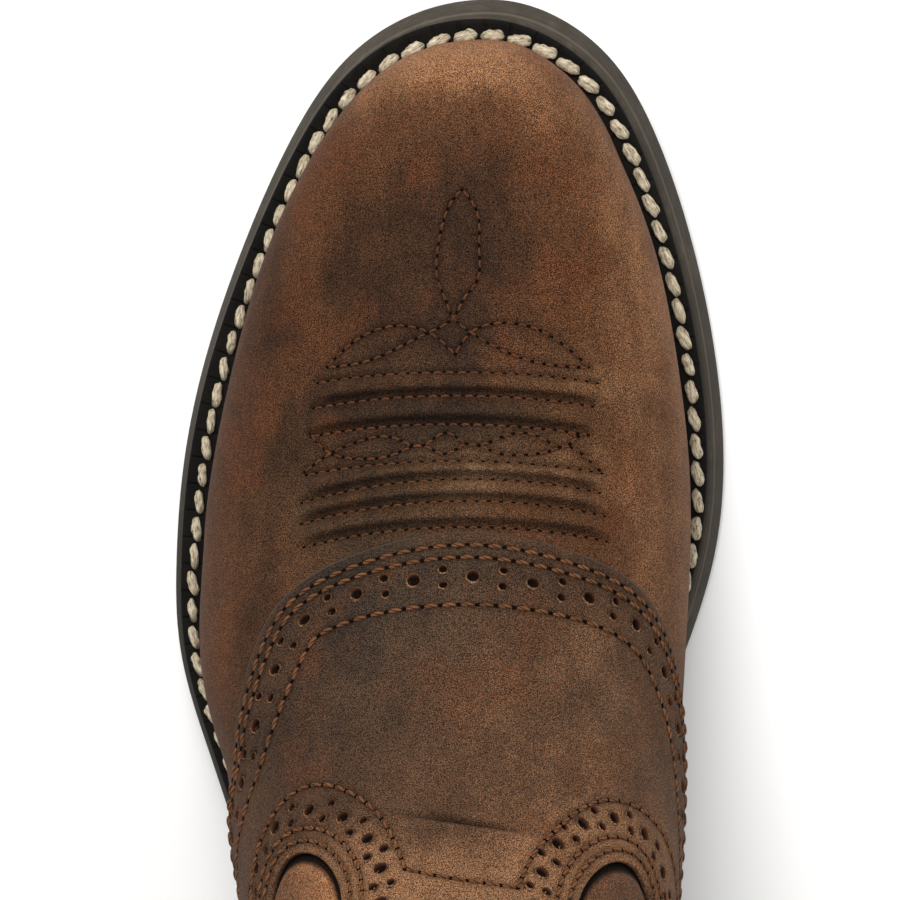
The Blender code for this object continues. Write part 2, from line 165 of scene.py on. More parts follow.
def tread(from_toe):
    """Height of the outsole's underside: toe spring, flat forefoot, rising waist, level heel."""
    spring = TOE_SPRING * np.clip(1 - from_toe / SPRING_FROM_TOE, 0.0, None) ** 2
    return spring + HEEL_RISE * ease((from_toe - FLAT_END) / (BREAST - FLAT_END))


def welt_foot(from_toe):
    """Height of the underside of the welt and the insole."""
    return tread(from_toe) + OUTSOLE_THICKNESS + CLEARANCE


def seat(from_toe):
    """Height of the upper's lower edge, a hair over the welt."""
    return welt_foot(from_toe) + WELT_THICKNESS + CLEARANCE


def outline(inset, rise=0.0, angle_from=0.0, steps=200):
    """Sole outline moved inward by `inset`, leaned back with the toe spring by `rise` over the tread.

    Rows of (medial, from_toe): the outer side from the front to the heel, then the inner side back.
    """
    angle = np.linspace(angle_from, np.pi, steps + 1)
    from_toe = SOLE_LENGTH * (1 - np.cos(angle)) / 2
    outer = np.c_[-half_width("lateral", angle), from_toe]
    inner = np.c_[half_width("medial", angle), from_toe]
    loop = np.r_[outer, inner[-2:(0 if angle_from == 0.0 else None):-1]]
    along = np.roll(loop, -1, 0) - np.roll(loop, 1, 0)
    if angle_from > 0.0:
        along[0], along[-1] = loop[1] - loop[0], loop[-1] - loop[-2]
    loop = loop + inset * unit(np.c_[along[:, 1], -along[:, 0]])
    lean = 2 * TOE_SPRING / SPRING_FROM_TOE * np.clip(1 - loop[:, 1] / SPRING_FROM_TOE, 0.0, None)
    loop[:, 1] += rise * lean
    return loop


print("widest place of the sole, mm:", round(float(np.ptp(outline(0.0)[:, 0])), 1))

# %% [markdown]
# ## The last, as a fan of sections
# The upper is drawn over a wooden last. Its sections start at the toe, lean back over the instep and open
# into rings up the leg, so one pair of numbers names any place: the `station` along the sections and the
# share `around` from the top line (0) to the outer (-1) or inner (+1) foot edge.

# %% Sections of the foot and the leg
Foot = namedtuple("Foot", "apex_from_tip apex_z seat_from_tip lateral medial widest roundness")
FOOT_SECTIONS = (
    Foot(0.0, float(seat(FEATHER_TIP)), 0.0, 0.0, 0.0, 0.30, 2.0),
    Foot(2.5, 33.0, 2.5, 13.2, 10.0, 0.30, 2.0),
    Foot(10.0, 43.0, 10.0, 23.9, 18.5, 0.30, 2.05),
    Foot(22.0, 48.6, 22.0, 33.0, 25.9, 0.30, 2.1),
    Foot(40.0, 52.0, 40.0, 42.0, 33.2, 0.28, 2.1),
    Foot(60.0, 56.0, 60.0, 48.2, 37.6, 0.28, 2.05),
    Foot(82.0, 62.5, 82.0, 52.8, 40.4, 0.28, 2.0),
    Foot(102.0, 72.5, 102.0, 54.4, 40.8, 0.30, 1.95),
    Foot(122.0, 86.5, 124.0, 51.6, 40.0, 0.36, 1.95),
    Foot(141.0, 104.0, 152.0, 46.1, 39.0, 0.42, 1.95),
    Foot(157.0, 122.5, 186.0, 39.9, 37.9, 0.44, 2.0),
    Foot(167.5, 140.0, 228.0, 38.2, 37.4, 0.43, 2.0),
    Foot(172.5, 158.0, LAST_LENGTH, 37.4, 37.2, 0.41, 2.05),
)
Shaft = namedtuple("Shaft", "apex_from_tip apex_z back_from_tip back_z lateral medial widest roundness")
SHAFT_SECTIONS = (
    Shaft(174.5, 178.0, 278.6, 78.0, 37.4, 37.2, 0.43, 2.1),
    Shaft(174.5, 200.0, 275.5, 124.0, 39.4, 39.2, 0.46, 2.1),
    Shaft(172.5, 226.0, 275.0, 172.0, 43.4, 43.2, 0.48, 2.1),
    Shaft(168.5, 253.0, 278.0, 226.0, 49.0, 48.8, 0.50, 2.1),
    Shaft(164.0, 278.0, 282.0, 278.0, 54.0, 54.0, 0.50, 2.1),
)
CORNER = len(FOOT_SECTIONS) - 1
COLLAR = CORNER + len(SHAFT_SECTIONS)


def section_table(station):
    """Apex, base, half widths and form of the sections at the stations, read between the tables' rows."""
    rows = FOOT_SECTIONS + SHAFT_SECTIONS
    knots = np.arange(len(rows))
    apex_turn = spline(knots, turn(column(rows, "apex_from_tip") / LAST_LENGTH), station)
    seats = turn(column(FOOT_SECTIONS, "seat_from_tip") / LAST_LENGTH)
    seat_turn = spline(knots[:CORNER + 1], seats, np.minimum(station, CORNER))
    seat_turn = np.where(station < CORNER, seat_turn, np.pi)
    seat_from_toe = FEATHER_TIP + LAST_LENGTH * (1 - np.cos(seat_turn)) / 2
    heel = FEATHER_TIP + LAST_LENGTH
    on_back = np.maximum(station, CORNER)
    back_from_toe = np.r_[heel, FEATHER_TIP + column(SHAFT_SECTIONS, "back_from_tip")]
    back_z = np.r_[seat(heel), column(SHAFT_SECTIONS, "back_z")]
    table = {name: spline(knots, column(rows, name), station)
             for name in ("apex_z", "lateral", "medial", "widest", "roundness")}
    table["apex_from_toe"] = FEATHER_TIP + LAST_LENGTH * (1 - np.cos(apex_turn)) / 2
    back = spline(knots[CORNER:], back_from_toe, on_back)
    table["base_from_toe"] = np.where(station > CORNER, back, seat_from_toe)
    table["base_z"] = np.where(station > CORNER, spline(knots[CORNER:], back_z, on_back), seat(seat_from_toe))
    for side in ("lateral", "medial"):
        table[side + "_base"] = FEATHER_SHARE[side] * half_width(side, seat_turn)
    return table


def half_section(widest_half, base_half, height, widest, roundness, detail=481):
    """Half sections, apex to base: a round quarter arc to the widest place, part of an ellipse below."""
    half = np.maximum(widest_half, base_half * 1.004)[:, None]
    low = np.arccos(np.clip(base_half / np.maximum(half[:, 0], 1e-9), 0.0, 0.996))[:, None]
    level = (widest * height)[:, None]
    share = np.linspace(0.0, 1.0, detail)[None]
    above = share < 0.5
    upper_arc = np.where(above, (1 - 2 * share) * np.pi / 2, 0.0)
    lower_arc = np.where(above, 0.0, (2 * share - 1) * low)
    power = (2 / roundness)[:, None]
    across = np.where(above, half * np.cos(upper_arc) ** power, half * np.cos(lower_arc))
    top = level + (height[:, None] - level) * np.sin(upper_arc) ** power
    return across, np.where(above, top, level - level * np.sin(lower_arc) / np.sin(low))


def skin_grid(station, around):
    """Outer surface of the upper on a grid of stations by shares around, and each side's half girth.

    Every section is walked by its own length from the apex; toward the collar its sides rise to a scallop.
    """
    table = section_table(station)
    rise = np.c_[table["apex_from_toe"] - table["base_from_toe"], table["apex_z"] - table["base_z"]]
    height = np.linalg.norm(rise, axis=1)
    shift = 2.0 * np.arange(len(station))[:, None]
    grid = np.empty((len(station), len(around), 3))
    girth = {}
    for side, sign, pick in (("lateral", -1, around < 0), ("medial", 1, around >= 0)):
        across, up = half_section(table[side], table[side + "_base"], height, table["widest"],
                                  table["roundness"])
        run = np.c_[np.zeros(len(station)), np.cumsum(np.hypot(np.diff(across), np.diff(up)), 1)]
        girth[side] = run[:, -1]
        walk = (run / np.maximum(run[:, -1:], 1e-9) + shift).ravel()
        ask = np.abs(around[pick])[None] + shift
        x = np.interp(ask, walk, across.ravel())
        h = np.interp(ask, walk, up.ravel()) / np.maximum(height, 1e-9)[:, None]
        grid[:, pick, 0] = sign * x
        grid[:, pick, 1] = table["base_from_toe"][:, None] + rise[:, :1] * h
        grid[:, pick, 2] = table["base_z"][:, None] + rise[:, 1:] * h
    lift = ease((station - CORNER - 2) / (COLLAR - CORNER - 2))[:, None] * np.sin(np.pi * np.abs(around)) ** 2
    grid[..., 2] += SCALLOP * lift
    return grid, girth


def grid_normals(grid):
    """Outward directions of a skin grid: the girth direction crossed with the direction along."""
    normal = unit(np.cross(np.gradient(grid, axis=1), np.gradient(grid, axis=0)))
    flat = np.linalg.norm(normal, axis=-1) < 0.5
    normal[flat] = (0.0, -1.0, 0.0)
    return normal


READ_PER_STATION = 32
READ_PER_SIDE = 200
BALL_STATION = 6
READ_STATION = np.linspace(0.0, COLLAR, COLLAR * READ_PER_STATION + 1)
READ_AROUND = np.linspace(-1.0, 1.0, 2 * READ_PER_SIDE + 1)
SKIN, GIRTH = skin_grid(READ_STATION, READ_AROUND)
SKIN_NORMAL = grid_normals(SKIN)
ball_girth = GIRTH["lateral"][BALL_STATION * READ_PER_STATION]
print("skin to read from:", SKIN.shape, "half girth at the ball, mm:", ball_girth.round(1))

# %% [markdown]
# ## Reading the skin anywhere
# Stitches, holes and edges lie on the skin, so their places are read from the dense grid by a smooth
# four-point blend in both directions. Small steps on the surface turn back into station and share with the
# surface's own two tangents, which is how a line is drawn a few millimetres inside an edge.


# %% Reading and stepping on the skin
def read_grid(grid, station, around):
    """Catmull-Rom reading of a grid: four rows and four columns weighted by cubics of the place between."""
    station, around = np.broadcast_arrays(np.asarray(station, float), np.asarray(around, float))
    picks = []
    on_rows, on_columns = station * READ_PER_STATION, (around + 1) * READ_PER_SIDE
    for value, count in ((on_rows, len(READ_STATION)), (on_columns, len(READ_AROUND))):
        base = np.clip(np.floor(value).astype(int), 0, count - 2)
        u = np.clip(value - base, 0.0, 1.0)
        weights = (-u + 2 * u ** 2 - u ** 3, 2 - 5 * u ** 2 + 3 * u ** 3,
                   u + 4 * u ** 2 - 3 * u ** 3, -u ** 2 + u ** 3)
        picks.append([(np.clip(base + k - 1, 0, count - 1), weights[k] / 2) for k in range(4)])
    return sum((wi * wj)[..., None] * grid[i, j] for i, wi in picks[0] for j, wj in picks[1])


def skin(station, around, lift=0.0):
    """Point on the skin, lifted along its outward direction."""
    return read_grid(SKIN, station, around) + np.asarray(lift)[..., None] * facing(station, around)


def facing(station, around):
    """Outward direction of the skin."""
    return unit(read_grid(SKIN_NORMAL, station, around))


def half_girth(station, around):
    """Length of the section from the top line to the foot edge on the side that `around` lies on."""
    lateral = np.interp(station, READ_STATION, GIRTH["lateral"])
    return np.where(np.asarray(around) < 0, lateral, np.interp(station, READ_STATION, GIRTH["medial"]))


def step_on_skin(station, around, move):
    """Station and share after a small move in millimetres, solved from the surface's two tangents."""
    d = 0.01
    along = (skin(station + d, around) - skin(station - d, around)) / (2 * d)
    girth = (skin(station, around + d) - skin(station, around - d)) / (2 * d)
    aa, gg, ag = (along ** 2).sum(-1), (girth ** 2).sum(-1), (along * girth).sum(-1)
    am, gm = (along * move).sum(-1), (girth * move).sum(-1)
    det = aa * gg - ag ** 2
    return station + (am * gg - gm * ag) / det, around + (gm * aa - am * ag) / det


def beside(station, around, distance):
    """A path moved sideways on the skin, to its left seen from outside when `distance` is positive."""
    steps = max(1, int(np.abs(distance).max()))
    stride = np.broadcast_to(distance, np.shape(station))[:, None] / steps
    for _ in range(steps):
        tangent = unit(np.gradient(skin(station, around), axis=0))
        left = np.cross(tangent, facing(station, around))
        station, around = step_on_skin(station, around, left * stride)
    return station, around


PAIRS_AT_ONCE = 2000000


def distance_to(points, path):
    """Nearest distance of each point to the points of a path, worked out in parts to spare memory."""
    flat = points.reshape(-1, 3)
    parts = np.array_split(flat, max(1, len(flat) * len(path) // PAIRS_AT_ONCE))
    near = [np.sqrt(((part[:, None] - path[None]) ** 2).sum(-1).min(1)) for part in parts]
    return np.concatenate(near).reshape(points.shape[:-1])


print("a place on the instep:", skin(8.0, 0.0).round(1), "facing", facing(8.0, 0.0).round(2))

# %% [markdown]
# ## Meshes from arrays
# Every piece is put into Blender the same way: points as one array, faces as arrays of corners, and the
# extra values that a finish reads, such as a pattern's own coordinates or how much a place is rubbed.
# A sheet is turned to face its outward directions, a closed shape to have a positive volume.


# %% Mesh helpers
WELD_DISTANCE = 0.000002


def grid_faces(rows, columns, closed=False):
    """Corners of the quads of a grid stored row by row; `closed` joins the last column to the first."""
    i = np.arange(rows - 1)[:, None] * columns
    j = np.arange(columns if closed else columns - 1)[None]
    k = (j + 1) % columns
    return np.stack([i + j, i + k, i + columns + k, i + columns + j], -1).reshape(-1, 4)


def add_piece(name, points, faces, finishes, replaces=(), outward=None, pattern=None, marks=None,
              kinds=None, weld=False):
    """Mesh object from boot millimetres; `faces` holds one array of corners for each number of corners.

    `pattern` becomes a UV map, each of `marks` a value at the points, `kinds` the finish of each face.
    """
    place = to_room(np.asarray(points, float).reshape(-1, 3))
    first = np.concatenate([f[:, 0] for f in faces])
    a, b, c = (place[np.concatenate([f[:, k] for f in faces])] for k in (0, 1, 2))
    cross = np.cross(b - a, c - a)
    if outward is None:
        turned = (cross * a).sum() < 0
    else:
        turned = (cross * (np.asarray(outward).reshape(-1, 3)[first] * (-1, 1, 1))).sum() < 0
    faces = [f[:, ::-1] if turned else f for f in faces]
    corners = np.concatenate([f.ravel() for f in faces])
    sizes = np.concatenate([np.full(len(f), f.shape[1]) for f in faces])
    mesh = bpy.data.meshes.new(name)
    mesh.vertices.add(len(place))
    mesh.vertices.foreach_set("co", place.ravel())
    mesh.loops.add(len(corners))
    mesh.loops.foreach_set("vertex_index", corners)
    mesh.polygons.add(len(sizes))
    mesh.polygons.foreach_set("loop_start", np.r_[0, np.cumsum(sizes)[:-1]])
    for finish in finishes:
        mesh.materials.append(finish)
    if kinds is not None:
        mesh.polygons.foreach_set("material_index", np.asarray(kinds, np.int32))
    mesh.polygons.foreach_set("use_smooth", np.ones(len(sizes), bool))
    if pattern is not None:
        layer = mesh.uv_layers.new(name="pattern")
        layer.data.foreach_set("uv", np.asarray(pattern, float).reshape(-1, 2)[corners].ravel())
    for mark, values in (marks or {}).items():
        layer = mesh.attributes.new(mark, "FLOAT", "POINT")
        layer.data.foreach_set("value", np.asarray(values, float).ravel())
    mesh.update()
    mesh.validate()
    if weld:
        shape = bmesh.new()
        shape.from_mesh(mesh)
        bmesh.ops.remove_doubles(shape, verts=shape.verts, dist=WELD_DISTANCE)
        shape.to_mesh(mesh)
        shape.free()
    piece = bpy.data.objects.new(name, mesh)
    bpy.context.scene.collection.objects.link(piece)
    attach(piece, "root")
    if replaces:
        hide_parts(*replaces)
    print(name, "triangles:", int((sizes - 2).sum()))


def tube(path, across, up, profile):
    """Profile points (across, up) carried along a path, one row of them at each point of the path."""
    return path[:, None] + profile[None, :, :1] * across[:, None] + profile[None, :, 1:] * up[:, None]


print("faces of a 3 by 3 grid:", len(grid_faces(3, 3)))

# %% [markdown]
# ## Node helpers
# Materials are small recipes of nodes. These helpers keep each recipe readable: `feed` sets an input to a
# value or links it, and the others add one node and give back its output.


# %% Node helpers
def feed(socket, value):
    """Links an output to the socket, or sets its value."""
    if isinstance(value, bpy.types.NodeSocket):
        socket.id_data.links.new(value, socket)
    else:
        socket.default_value = value


def calc(tree, operation, a, b=0.0, clamp=False):
    """Math node."""
    made = tree.nodes.new("ShaderNodeMath")
    made.operation, made.use_clamp = operation, clamp
    feed(made.inputs[0], a)
    feed(made.inputs[1], b)
    return made.outputs[0]


def scaled(tree, value, by):
    """A value times another."""
    return calc(tree, "MULTIPLY", value, by)


def weighted(tree, *terms):
    """Sum of (value, weight) terms: each value times its weight."""
    parts = [scaled(tree, value, weight) for value, weight in terms]
    total = parts[0]
    for part in parts[1:]:
        total = calc(tree, "ADD", total, part)
    return total


def blend_colour(tree, share, a, b, mode="MIX"):
    """Mix node for colours."""
    made = tree.nodes.new("ShaderNodeMix")
    made.data_type, made.blend_type = "RGBA", mode
    feed(made.inputs["Factor"], share)
    feed(made.inputs[6], a)
    feed(made.inputs[7], b)
    return made.outputs[2]


def tinted(tree, colour, by):
    """A colour times another colour or a number."""
    return blend_colour(tree, 1.0, colour, by, "MULTIPLY")


def noise(tree, place, scale, detail=4.0, roughness=0.55, distortion=0.0):
    """Noise value between about 0.2 and 0.8, `scale` lumps to the metre."""
    made = tree.nodes.new("ShaderNodeTexNoise")
    for name, value in (("Vector", place), ("Scale", scale), ("Detail", detail), ("Roughness", roughness),
                        ("Distortion", distortion)):
        feed(made.inputs[name], value)
    return made.outputs[0]


def cells(tree, place, scale):
    """Distance to the nearest of points scattered in space, `scale` of them to the metre."""
    made = tree.nodes.new("ShaderNodeTexVoronoi")
    feed(made.inputs["Vector"], place)
    feed(made.inputs["Scale"], scale)
    return made.outputs["Distance"]


def spread(tree, value, low, high, to_low=0.0, to_high=1.0):
    """Map Range: `low` to `high` becomes `to_low` to `to_high`, eased and held at the ends."""
    made = tree.nodes.new("ShaderNodeMapRange")
    made.interpolation_type = "SMOOTHSTEP"
    for i, number in enumerate((value, low, high, to_low, to_high)):
        feed(made.inputs[i], number)
    return made.outputs[0]


def shades(tree, value, stops):
    """Colour ramp through (place, colour) stops."""
    made = tree.nodes.new("ShaderNodeValToRGB")
    ramp = made.color_ramp
    while len(ramp.elements) < len(stops):
        ramp.elements.new(0.5)
    for element, (place, colour) in zip(ramp.elements, stops):
        element.position = place
        element.color = (*colour, 1.0)
    feed(made.inputs[0], value)
    return made.outputs[0]


def stretched(tree, place, size, turned=(0.0, 0.0, 0.0)):
    """Mapping node that stretches or turns a pattern."""
    made = tree.nodes.new("ShaderNodeMapping")
    feed(made.inputs["Vector"], place)
    made.inputs["Scale"].default_value = size
    made.inputs["Rotation"].default_value = turned
    return made.outputs[0]


def axes_of(tree, vector):
    """The three numbers of a vector."""
    made = tree.nodes.new("ShaderNodeSeparateXYZ")
    feed(made.inputs[0], vector)
    return made.outputs


def new_group(name, takes, gives):
    """Node group with named sockets: dictionaries of name to socket type."""
    group = bpy.data.node_groups.new(name, "ShaderNodeTree")
    for socket, kind in takes.items():
        group.interface.new_socket(name=socket, in_out="INPUT", socket_type="NodeSocket" + kind)
    for socket, kind in gives.items():
        group.interface.new_socket(name=socket, in_out="OUTPUT", socket_type="NodeSocket" + kind)
    return group, group.nodes.new("NodeGroupInput").outputs, group.nodes.new("NodeGroupOutput").inputs


def use_group(tree, group, **values):
    """Places a group in a material and feeds its inputs; underscores stand for spaces."""
    made = tree.nodes.new("ShaderNodeGroup")
    made.node_tree = group
    for name, value in values.items():
        feed(made.inputs[name.replace("_", " ")], value)
    return made.outputs


def new_finish(name, roughness, specular):
    """Material with its shader and the object's own coordinates."""
    finish = bpy.data.materials.new(name)
    finish.use_nodes = True
    tree = finish.node_tree
    shader = tree.nodes["Principled BSDF"]
    shader.inputs["Roughness"].default_value = roughness
    shader.inputs["Specular IOR Level"].default_value = specular
    return finish, tree, shader, tree.nodes.new("ShaderNodeTexCoord").outputs["Object"]


def relief(tree, shader, height, depth):
    """Bump of `depth` millimetres from a height value."""
    made = tree.nodes.new("ShaderNodeBump")
    made.inputs["Distance"].default_value = depth * MM
    feed(made.inputs["Height"], height)
    feed(shader.inputs["Normal"], made.outputs[0])


def mark_of(tree, name):
    """A value stored on the mesh."""
    made = tree.nodes.new("ShaderNodeAttribute")
    made.attribute_name = name
    return made.outputs["Fac"]


def pattern_of(tree):
    """The piece's own pattern coordinates."""
    made = tree.nodes.new("ShaderNodeUVMap")
    made.uv_map = "pattern"
    return made.outputs[0]


print("node helpers ready")

# %% [markdown]
# ## Shared effects
# Oiled leather has three things that repeat on every piece of it: a fine grain of pores and wrinkles, a
# patina where the oil was pulled up and the colour lightened, and scratches. Thread has plies, rubber has
# dust. Each is a group, built once and used with its own numbers.

# %% Grain
HIDE_GRAIN, grain_in, grain_out = new_group(
    "hide_grain", {"Place": "Vector", "Pores per metre": "Float"},
    {"Height": "Float", "Speckle": "Float", "Flecks": "Float"})
tree = HIDE_GRAIN
grain_place, per_metre = grain_in["Place"], grain_in["Pores per metre"]
pores = cells(tree, grain_place, per_metre)
wrinkles = noise(tree, grain_place, scaled(tree, per_metre, 0.45), 5.0, 0.65)
nap = noise(tree, grain_place, scaled(tree, per_metre, 4.2), 1.0, 0.6)
fleck = noise(tree, grain_place, scaled(tree, per_metre, 3.1), 1.0, 0.5)
feed(grain_out["Height"], weighted(tree, (pores, 0.45), (wrinkles, 0.7), (nap, 0.5)))
feed(grain_out["Speckle"], weighted(tree, (nap, 0.93), (wrinkles, 0.07)))
feed(grain_out["Flecks"], spread(tree, fleck, 0.66, 0.76))
print("group:", HIDE_GRAIN.name)

# %% Patina and scratches
PATINA, pat_in, pat_out = new_group(
    "pulled_up_patina",
    {"Place": "Vector", "Rubbed": "Float", "Dark": "Color", "Middle": "Color", "Light": "Color",
     "Red": "Color"},
    {"Color": "Color"})
tree = PATINA
hide_place = pat_in["Place"]
cloud = noise(tree, hide_place, 38.0, 3.0, 0.5, 0.6)
blotch = noise(tree, stretched(tree, hide_place, (1.0, 0.7, 0.8), (0.0, 0.0, 0.6)), 95.0, 4.0, 0.55, 0.4)
smear = noise(tree, stretched(tree, hide_place, (260.0, 55.0, 80.0), (0.0, 0.0, 0.9)), 1.0, 4.0, 0.6, 0.5)
# The amount that pales the patina holds real patina and, where a piece marks it, painted light.
clouds = weighted(tree, (cloud, 0.45), (blotch, 0.42), (smear, 0.28), (pat_in["Rubbed"], 0.5))
amount = calc(tree, "SUBTRACT", clouds, 0.125, True)
low = blend_colour(tree, spread(tree, amount, 0.08, 0.5), pat_in["Dark"], pat_in["Middle"])
tone = blend_colour(tree, spread(tree, amount, 0.45, 0.98), low, pat_in["Light"])
warm = noise(tree, stretched(tree, hide_place, (1.0, 1.0, 1.0), (0.4, 0.2, 0.0)), 62.0, 3.0, 0.5, 0.3)
feed(pat_out["Color"], blend_colour(tree, spread(tree, warm, 0.5, 0.72, 0.0, 0.55), tone, pat_in["Red"]))

SCRATCHES, scr_in, scr_out = new_group("scratches", {"Place": "Vector"}, {"Mask": "Float"})
tree = SCRATCHES
slanted = stretched(tree, scr_in["Place"], (1500.0, 90.0, 400.0), (0.0, 0.0, -0.8))
lines = noise(tree, slanted, 1.0, 3.0, 0.6, 1.2)
few = noise(tree, scr_in["Place"], 30.0, 2.0)
feed(scr_out["Mask"], scaled(tree, spread(tree, lines, 0.62, 0.78), spread(tree, few, 0.45, 0.62)))
print("groups:", PATINA.name, SCRATCHES.name)

# %% Plies of thread and dust on rubber
PLIES, ply_in, ply_out = new_group(
    "thread_plies", {"Pattern": "Vector", "Turns": "Float", "Plies": "Float"},
    {"Height": "Float", "Hollow": "Float"})
tree = PLIES
along_thread, round_thread, _ = axes_of(tree, ply_in["Pattern"])
wind = weighted(tree, (along_thread, ply_in["Turns"]), (round_thread, ply_in["Plies"]))
ply = calc(tree, "ABSOLUTE", calc(tree, "SINE", scaled(tree, wind, np.pi)))
fibre = noise(tree, stretched(tree, ply_in["Pattern"], (3.0, 26.0, 1.0)), 3.0, 3.0, 0.7)
feed(ply_out["Height"], calc(tree, "ADD", ply, scaled(tree, fibre, 0.35)))
deep_share = spread(tree, ply, 0.0, 0.62, 1.0, 0.0)
feed(ply_out["Hollow"], calc(tree, "ADD", deep_share, spread(tree, fibre, 0.3, 0.62, 0.55, 0.0), True))

DUST, dust_in, dust_out = new_group("rubber_dust", {"Place": "Vector"}, {"Mask": "Float", "Height": "Float"})
tree = DUST
film = noise(tree, dust_in["Place"], 70.0, 5.0, 0.62, 0.5)
rub = noise(tree, stretched(tree, dust_in["Place"], (420.0, 420.0, 1300.0)), 1.0, 4.0, 0.65)
feed(dust_out["Mask"], scaled(tree, spread(tree, film, 0.35, 0.7), spread(tree, rub, 0.3, 0.7)))
pebbles = noise(tree, dust_in["Place"], 2600.0, 3.0, 0.6)
feed(dust_out["Height"], calc(tree, "ADD", pebbles, scaled(tree, rub, 0.6)))
print("groups:", PLIES.name, DUST.name)

# %% [markdown]
# ## The leather finishes
# Vamp, saddle, underlays and trims are the same oiled hide, darker or lighter. The patina's colours run from
# a near black brown in the oily places to an orange brown where it was pulled over the last.


# %% Leather finishes
Tones = namedtuple("Tones", "dark middle light red")
HIDE_PORES = 1250.0
HIDE_ROUGHNESS = 0.68
HIDE_DEPTH = 0.14
WORN_TINT = (1.9, 1.8, 1.7, 1.0)
SHEEN_TINT = (0.86, 1.06, 1.20, 1.0)
SUNK_SHADOW = 0.55


def hide_finish(name, tones):
    """Leather: patina with grain speckle, paler and rougher scratches, painted shade and sheen, fine bump."""
    finish, tree, shader, place = new_finish(name, HIDE_ROUGHNESS, 0.06)
    grain = use_group(tree, HIDE_GRAIN, Place=place, Pores_per_metre=HIDE_PORES)
    colours = {tone.capitalize(): (*colour, 1.0) for tone, colour in tones._asdict().items()}
    patina = use_group(tree, PATINA, Place=place, Rubbed=mark_of(tree, "rubbed_and_lit"), **colours)["Color"]
    scratch = use_group(tree, SCRATCHES, Place=place)["Mask"]
    colour = tinted(tree, patina, spread(tree, grain["Speckle"], 0.39, 0.70, 0.18, 2.75))
    flecks = scaled(tree, grain["Flecks"], 0.7)
    worn = calc(tree, "MAXIMUM", scaled(tree, scratch, 0.45), flecks)
    colour = blend_colour(tree, worn, colour, tinted(tree, patina, WORN_TINT))
    # Painted sheen: where marked, the colour is tinted cooler and greyer, standing in for a grey shine.
    colour = blend_colour(tree, mark_of(tree, "sheen_tint"), colour, tinted(tree, colour, SHEEN_TINT))
    # Painted shade: the colour is darkened by a mark that the meshes set in seams, drops, folds and window
    # gaps.
    shadow = calc(tree, "SUBTRACT", 1.0, scaled(tree, mark_of(tree, "sunk_shade"), SUNK_SHADOW))
    feed(shader.inputs["Base Color"], tinted(tree, colour, shadow))
    rough = spread(tree, grain["Speckle"], 0.2, 0.8, HIDE_ROUGHNESS - 0.08, HIDE_ROUGHNESS + 0.1)
    feed(shader.inputs["Roughness"], calc(tree, "ADD", rough, scaled(tree, scratch, 0.12)))
    cut = scaled(tree, scratch, 0.6)
    relief(tree, shader, calc(tree, "SUBTRACT", grain["Height"], cut), HIDE_DEPTH)
    return finish


VAMP_HIDE = hide_finish("vamp_hide", Tones(
    (0.0245, 0.0116, 0.0062), (0.066, 0.0283, 0.0124), (0.192, 0.092, 0.0430), (0.082, 0.0268, 0.0100)))
SADDLE_HIDE = hide_finish("saddle_hide", Tones(
    (0.0245, 0.0148, 0.0096), (0.0535, 0.0280, 0.0152), (0.152, 0.076, 0.0375), (0.069, 0.0272, 0.0120)))
OUTER_INLAY = hide_finish("outer_inlay_hide", Tones(
    (0.034, 0.0155, 0.0075), (0.094, 0.042, 0.0195), (0.205, 0.095, 0.043), (0.098, 0.037, 0.0160)))
INNER_INLAY = hide_finish("inner_inlay_hide", Tones(
    (0.034, 0.016, 0.0085), (0.076, 0.036, 0.0185), (0.15, 0.072, 0.035), (0.086, 0.034, 0.0160)))
print("leathers:", VAMP_HIDE.name, SADDLE_HIDE.name, OUTER_INLAY.name, INNER_INLAY.name)

# %% Raw edges and the lining
RAW_EDGE, tree, shader, place = new_finish("raw_edge", 0.8, 0.3)
fuzz = noise(tree, place, 1800.0, 4.0, 0.7)
raw_tan = shades(tree, fuzz, ((0.3, (0.030, 0.018, 0.011)), (0.7, (0.060, 0.038, 0.024))))
feed(shader.inputs["Base Color"], raw_tan)
relief(tree, shader, fuzz, 0.12)

LINING_HIDE, tree, shader, place = new_finish("lining_hide", 0.7, 0.35)
grain = use_group(tree, HIDE_GRAIN, Place=place, Pores_per_metre=900.0)
soil = noise(tree, place, 22.0, 4.0, 0.6)
tan = shades(tree, soil, ((0.3, (0.30, 0.18, 0.095)), (0.7, (0.44, 0.285, 0.165))))
feed(shader.inputs["Base Color"], tinted(tree, tan, spread(tree, grain["Speckle"], 0.3, 0.7, 0.85, 1.12)))
feed(shader.inputs["Roughness"], spread(tree, soil, 0.3, 0.7, 0.6, 0.8))
relief(tree, shader, grain["Height"], 0.08)
print("edge and lining:", RAW_EDGE.name, LINING_HIDE.name)

# %% [markdown]
# ## Thread and rope
# Thread is twisted from plies: its colour is bright on a ply and darkened with painted shade in the hollows
# between. The rope of the welt is looser: pale fibres run along it, a noise drawn out in the rope's own
# direction, and painted shade darkens its hollows too.

# %% Thread and rope
THREAD_TURNS = 2.2
THREAD_PLIES = 2.0
ROPE_TURNS = -0.8
ROPE_PLIES = 3.0
FIBRES = (3.0, 15.0, 420.0)


def thread_finish(name, deep_shade, bright, depth):
    """Twisted thread: bright on the plies, darkened with painted shade in the hollows between them."""
    finish, tree, shader, place = new_finish(name, 0.62, 0.12)
    plies = use_group(tree, PLIES, Pattern=pattern_of(tree), Turns=THREAD_TURNS, Plies=THREAD_PLIES)
    worn = noise(tree, place, 260.0, 3.0, 0.6)
    # Painted shade: the hollows between plies take the deep colour.
    tone = blend_colour(tree, plies["Hollow"], (*bright, 1.0), (*deep_shade, 1.0))
    feed(shader.inputs["Base Color"], tinted(tree, tone, spread(tree, worn, 0.3, 0.7, 0.7, 1.2)))
    feed(shader.inputs["Roughness"], spread(tree, worn, 0.3, 0.7, 0.55, 0.75))
    relief(tree, shader, plies["Height"], depth)
    return finish


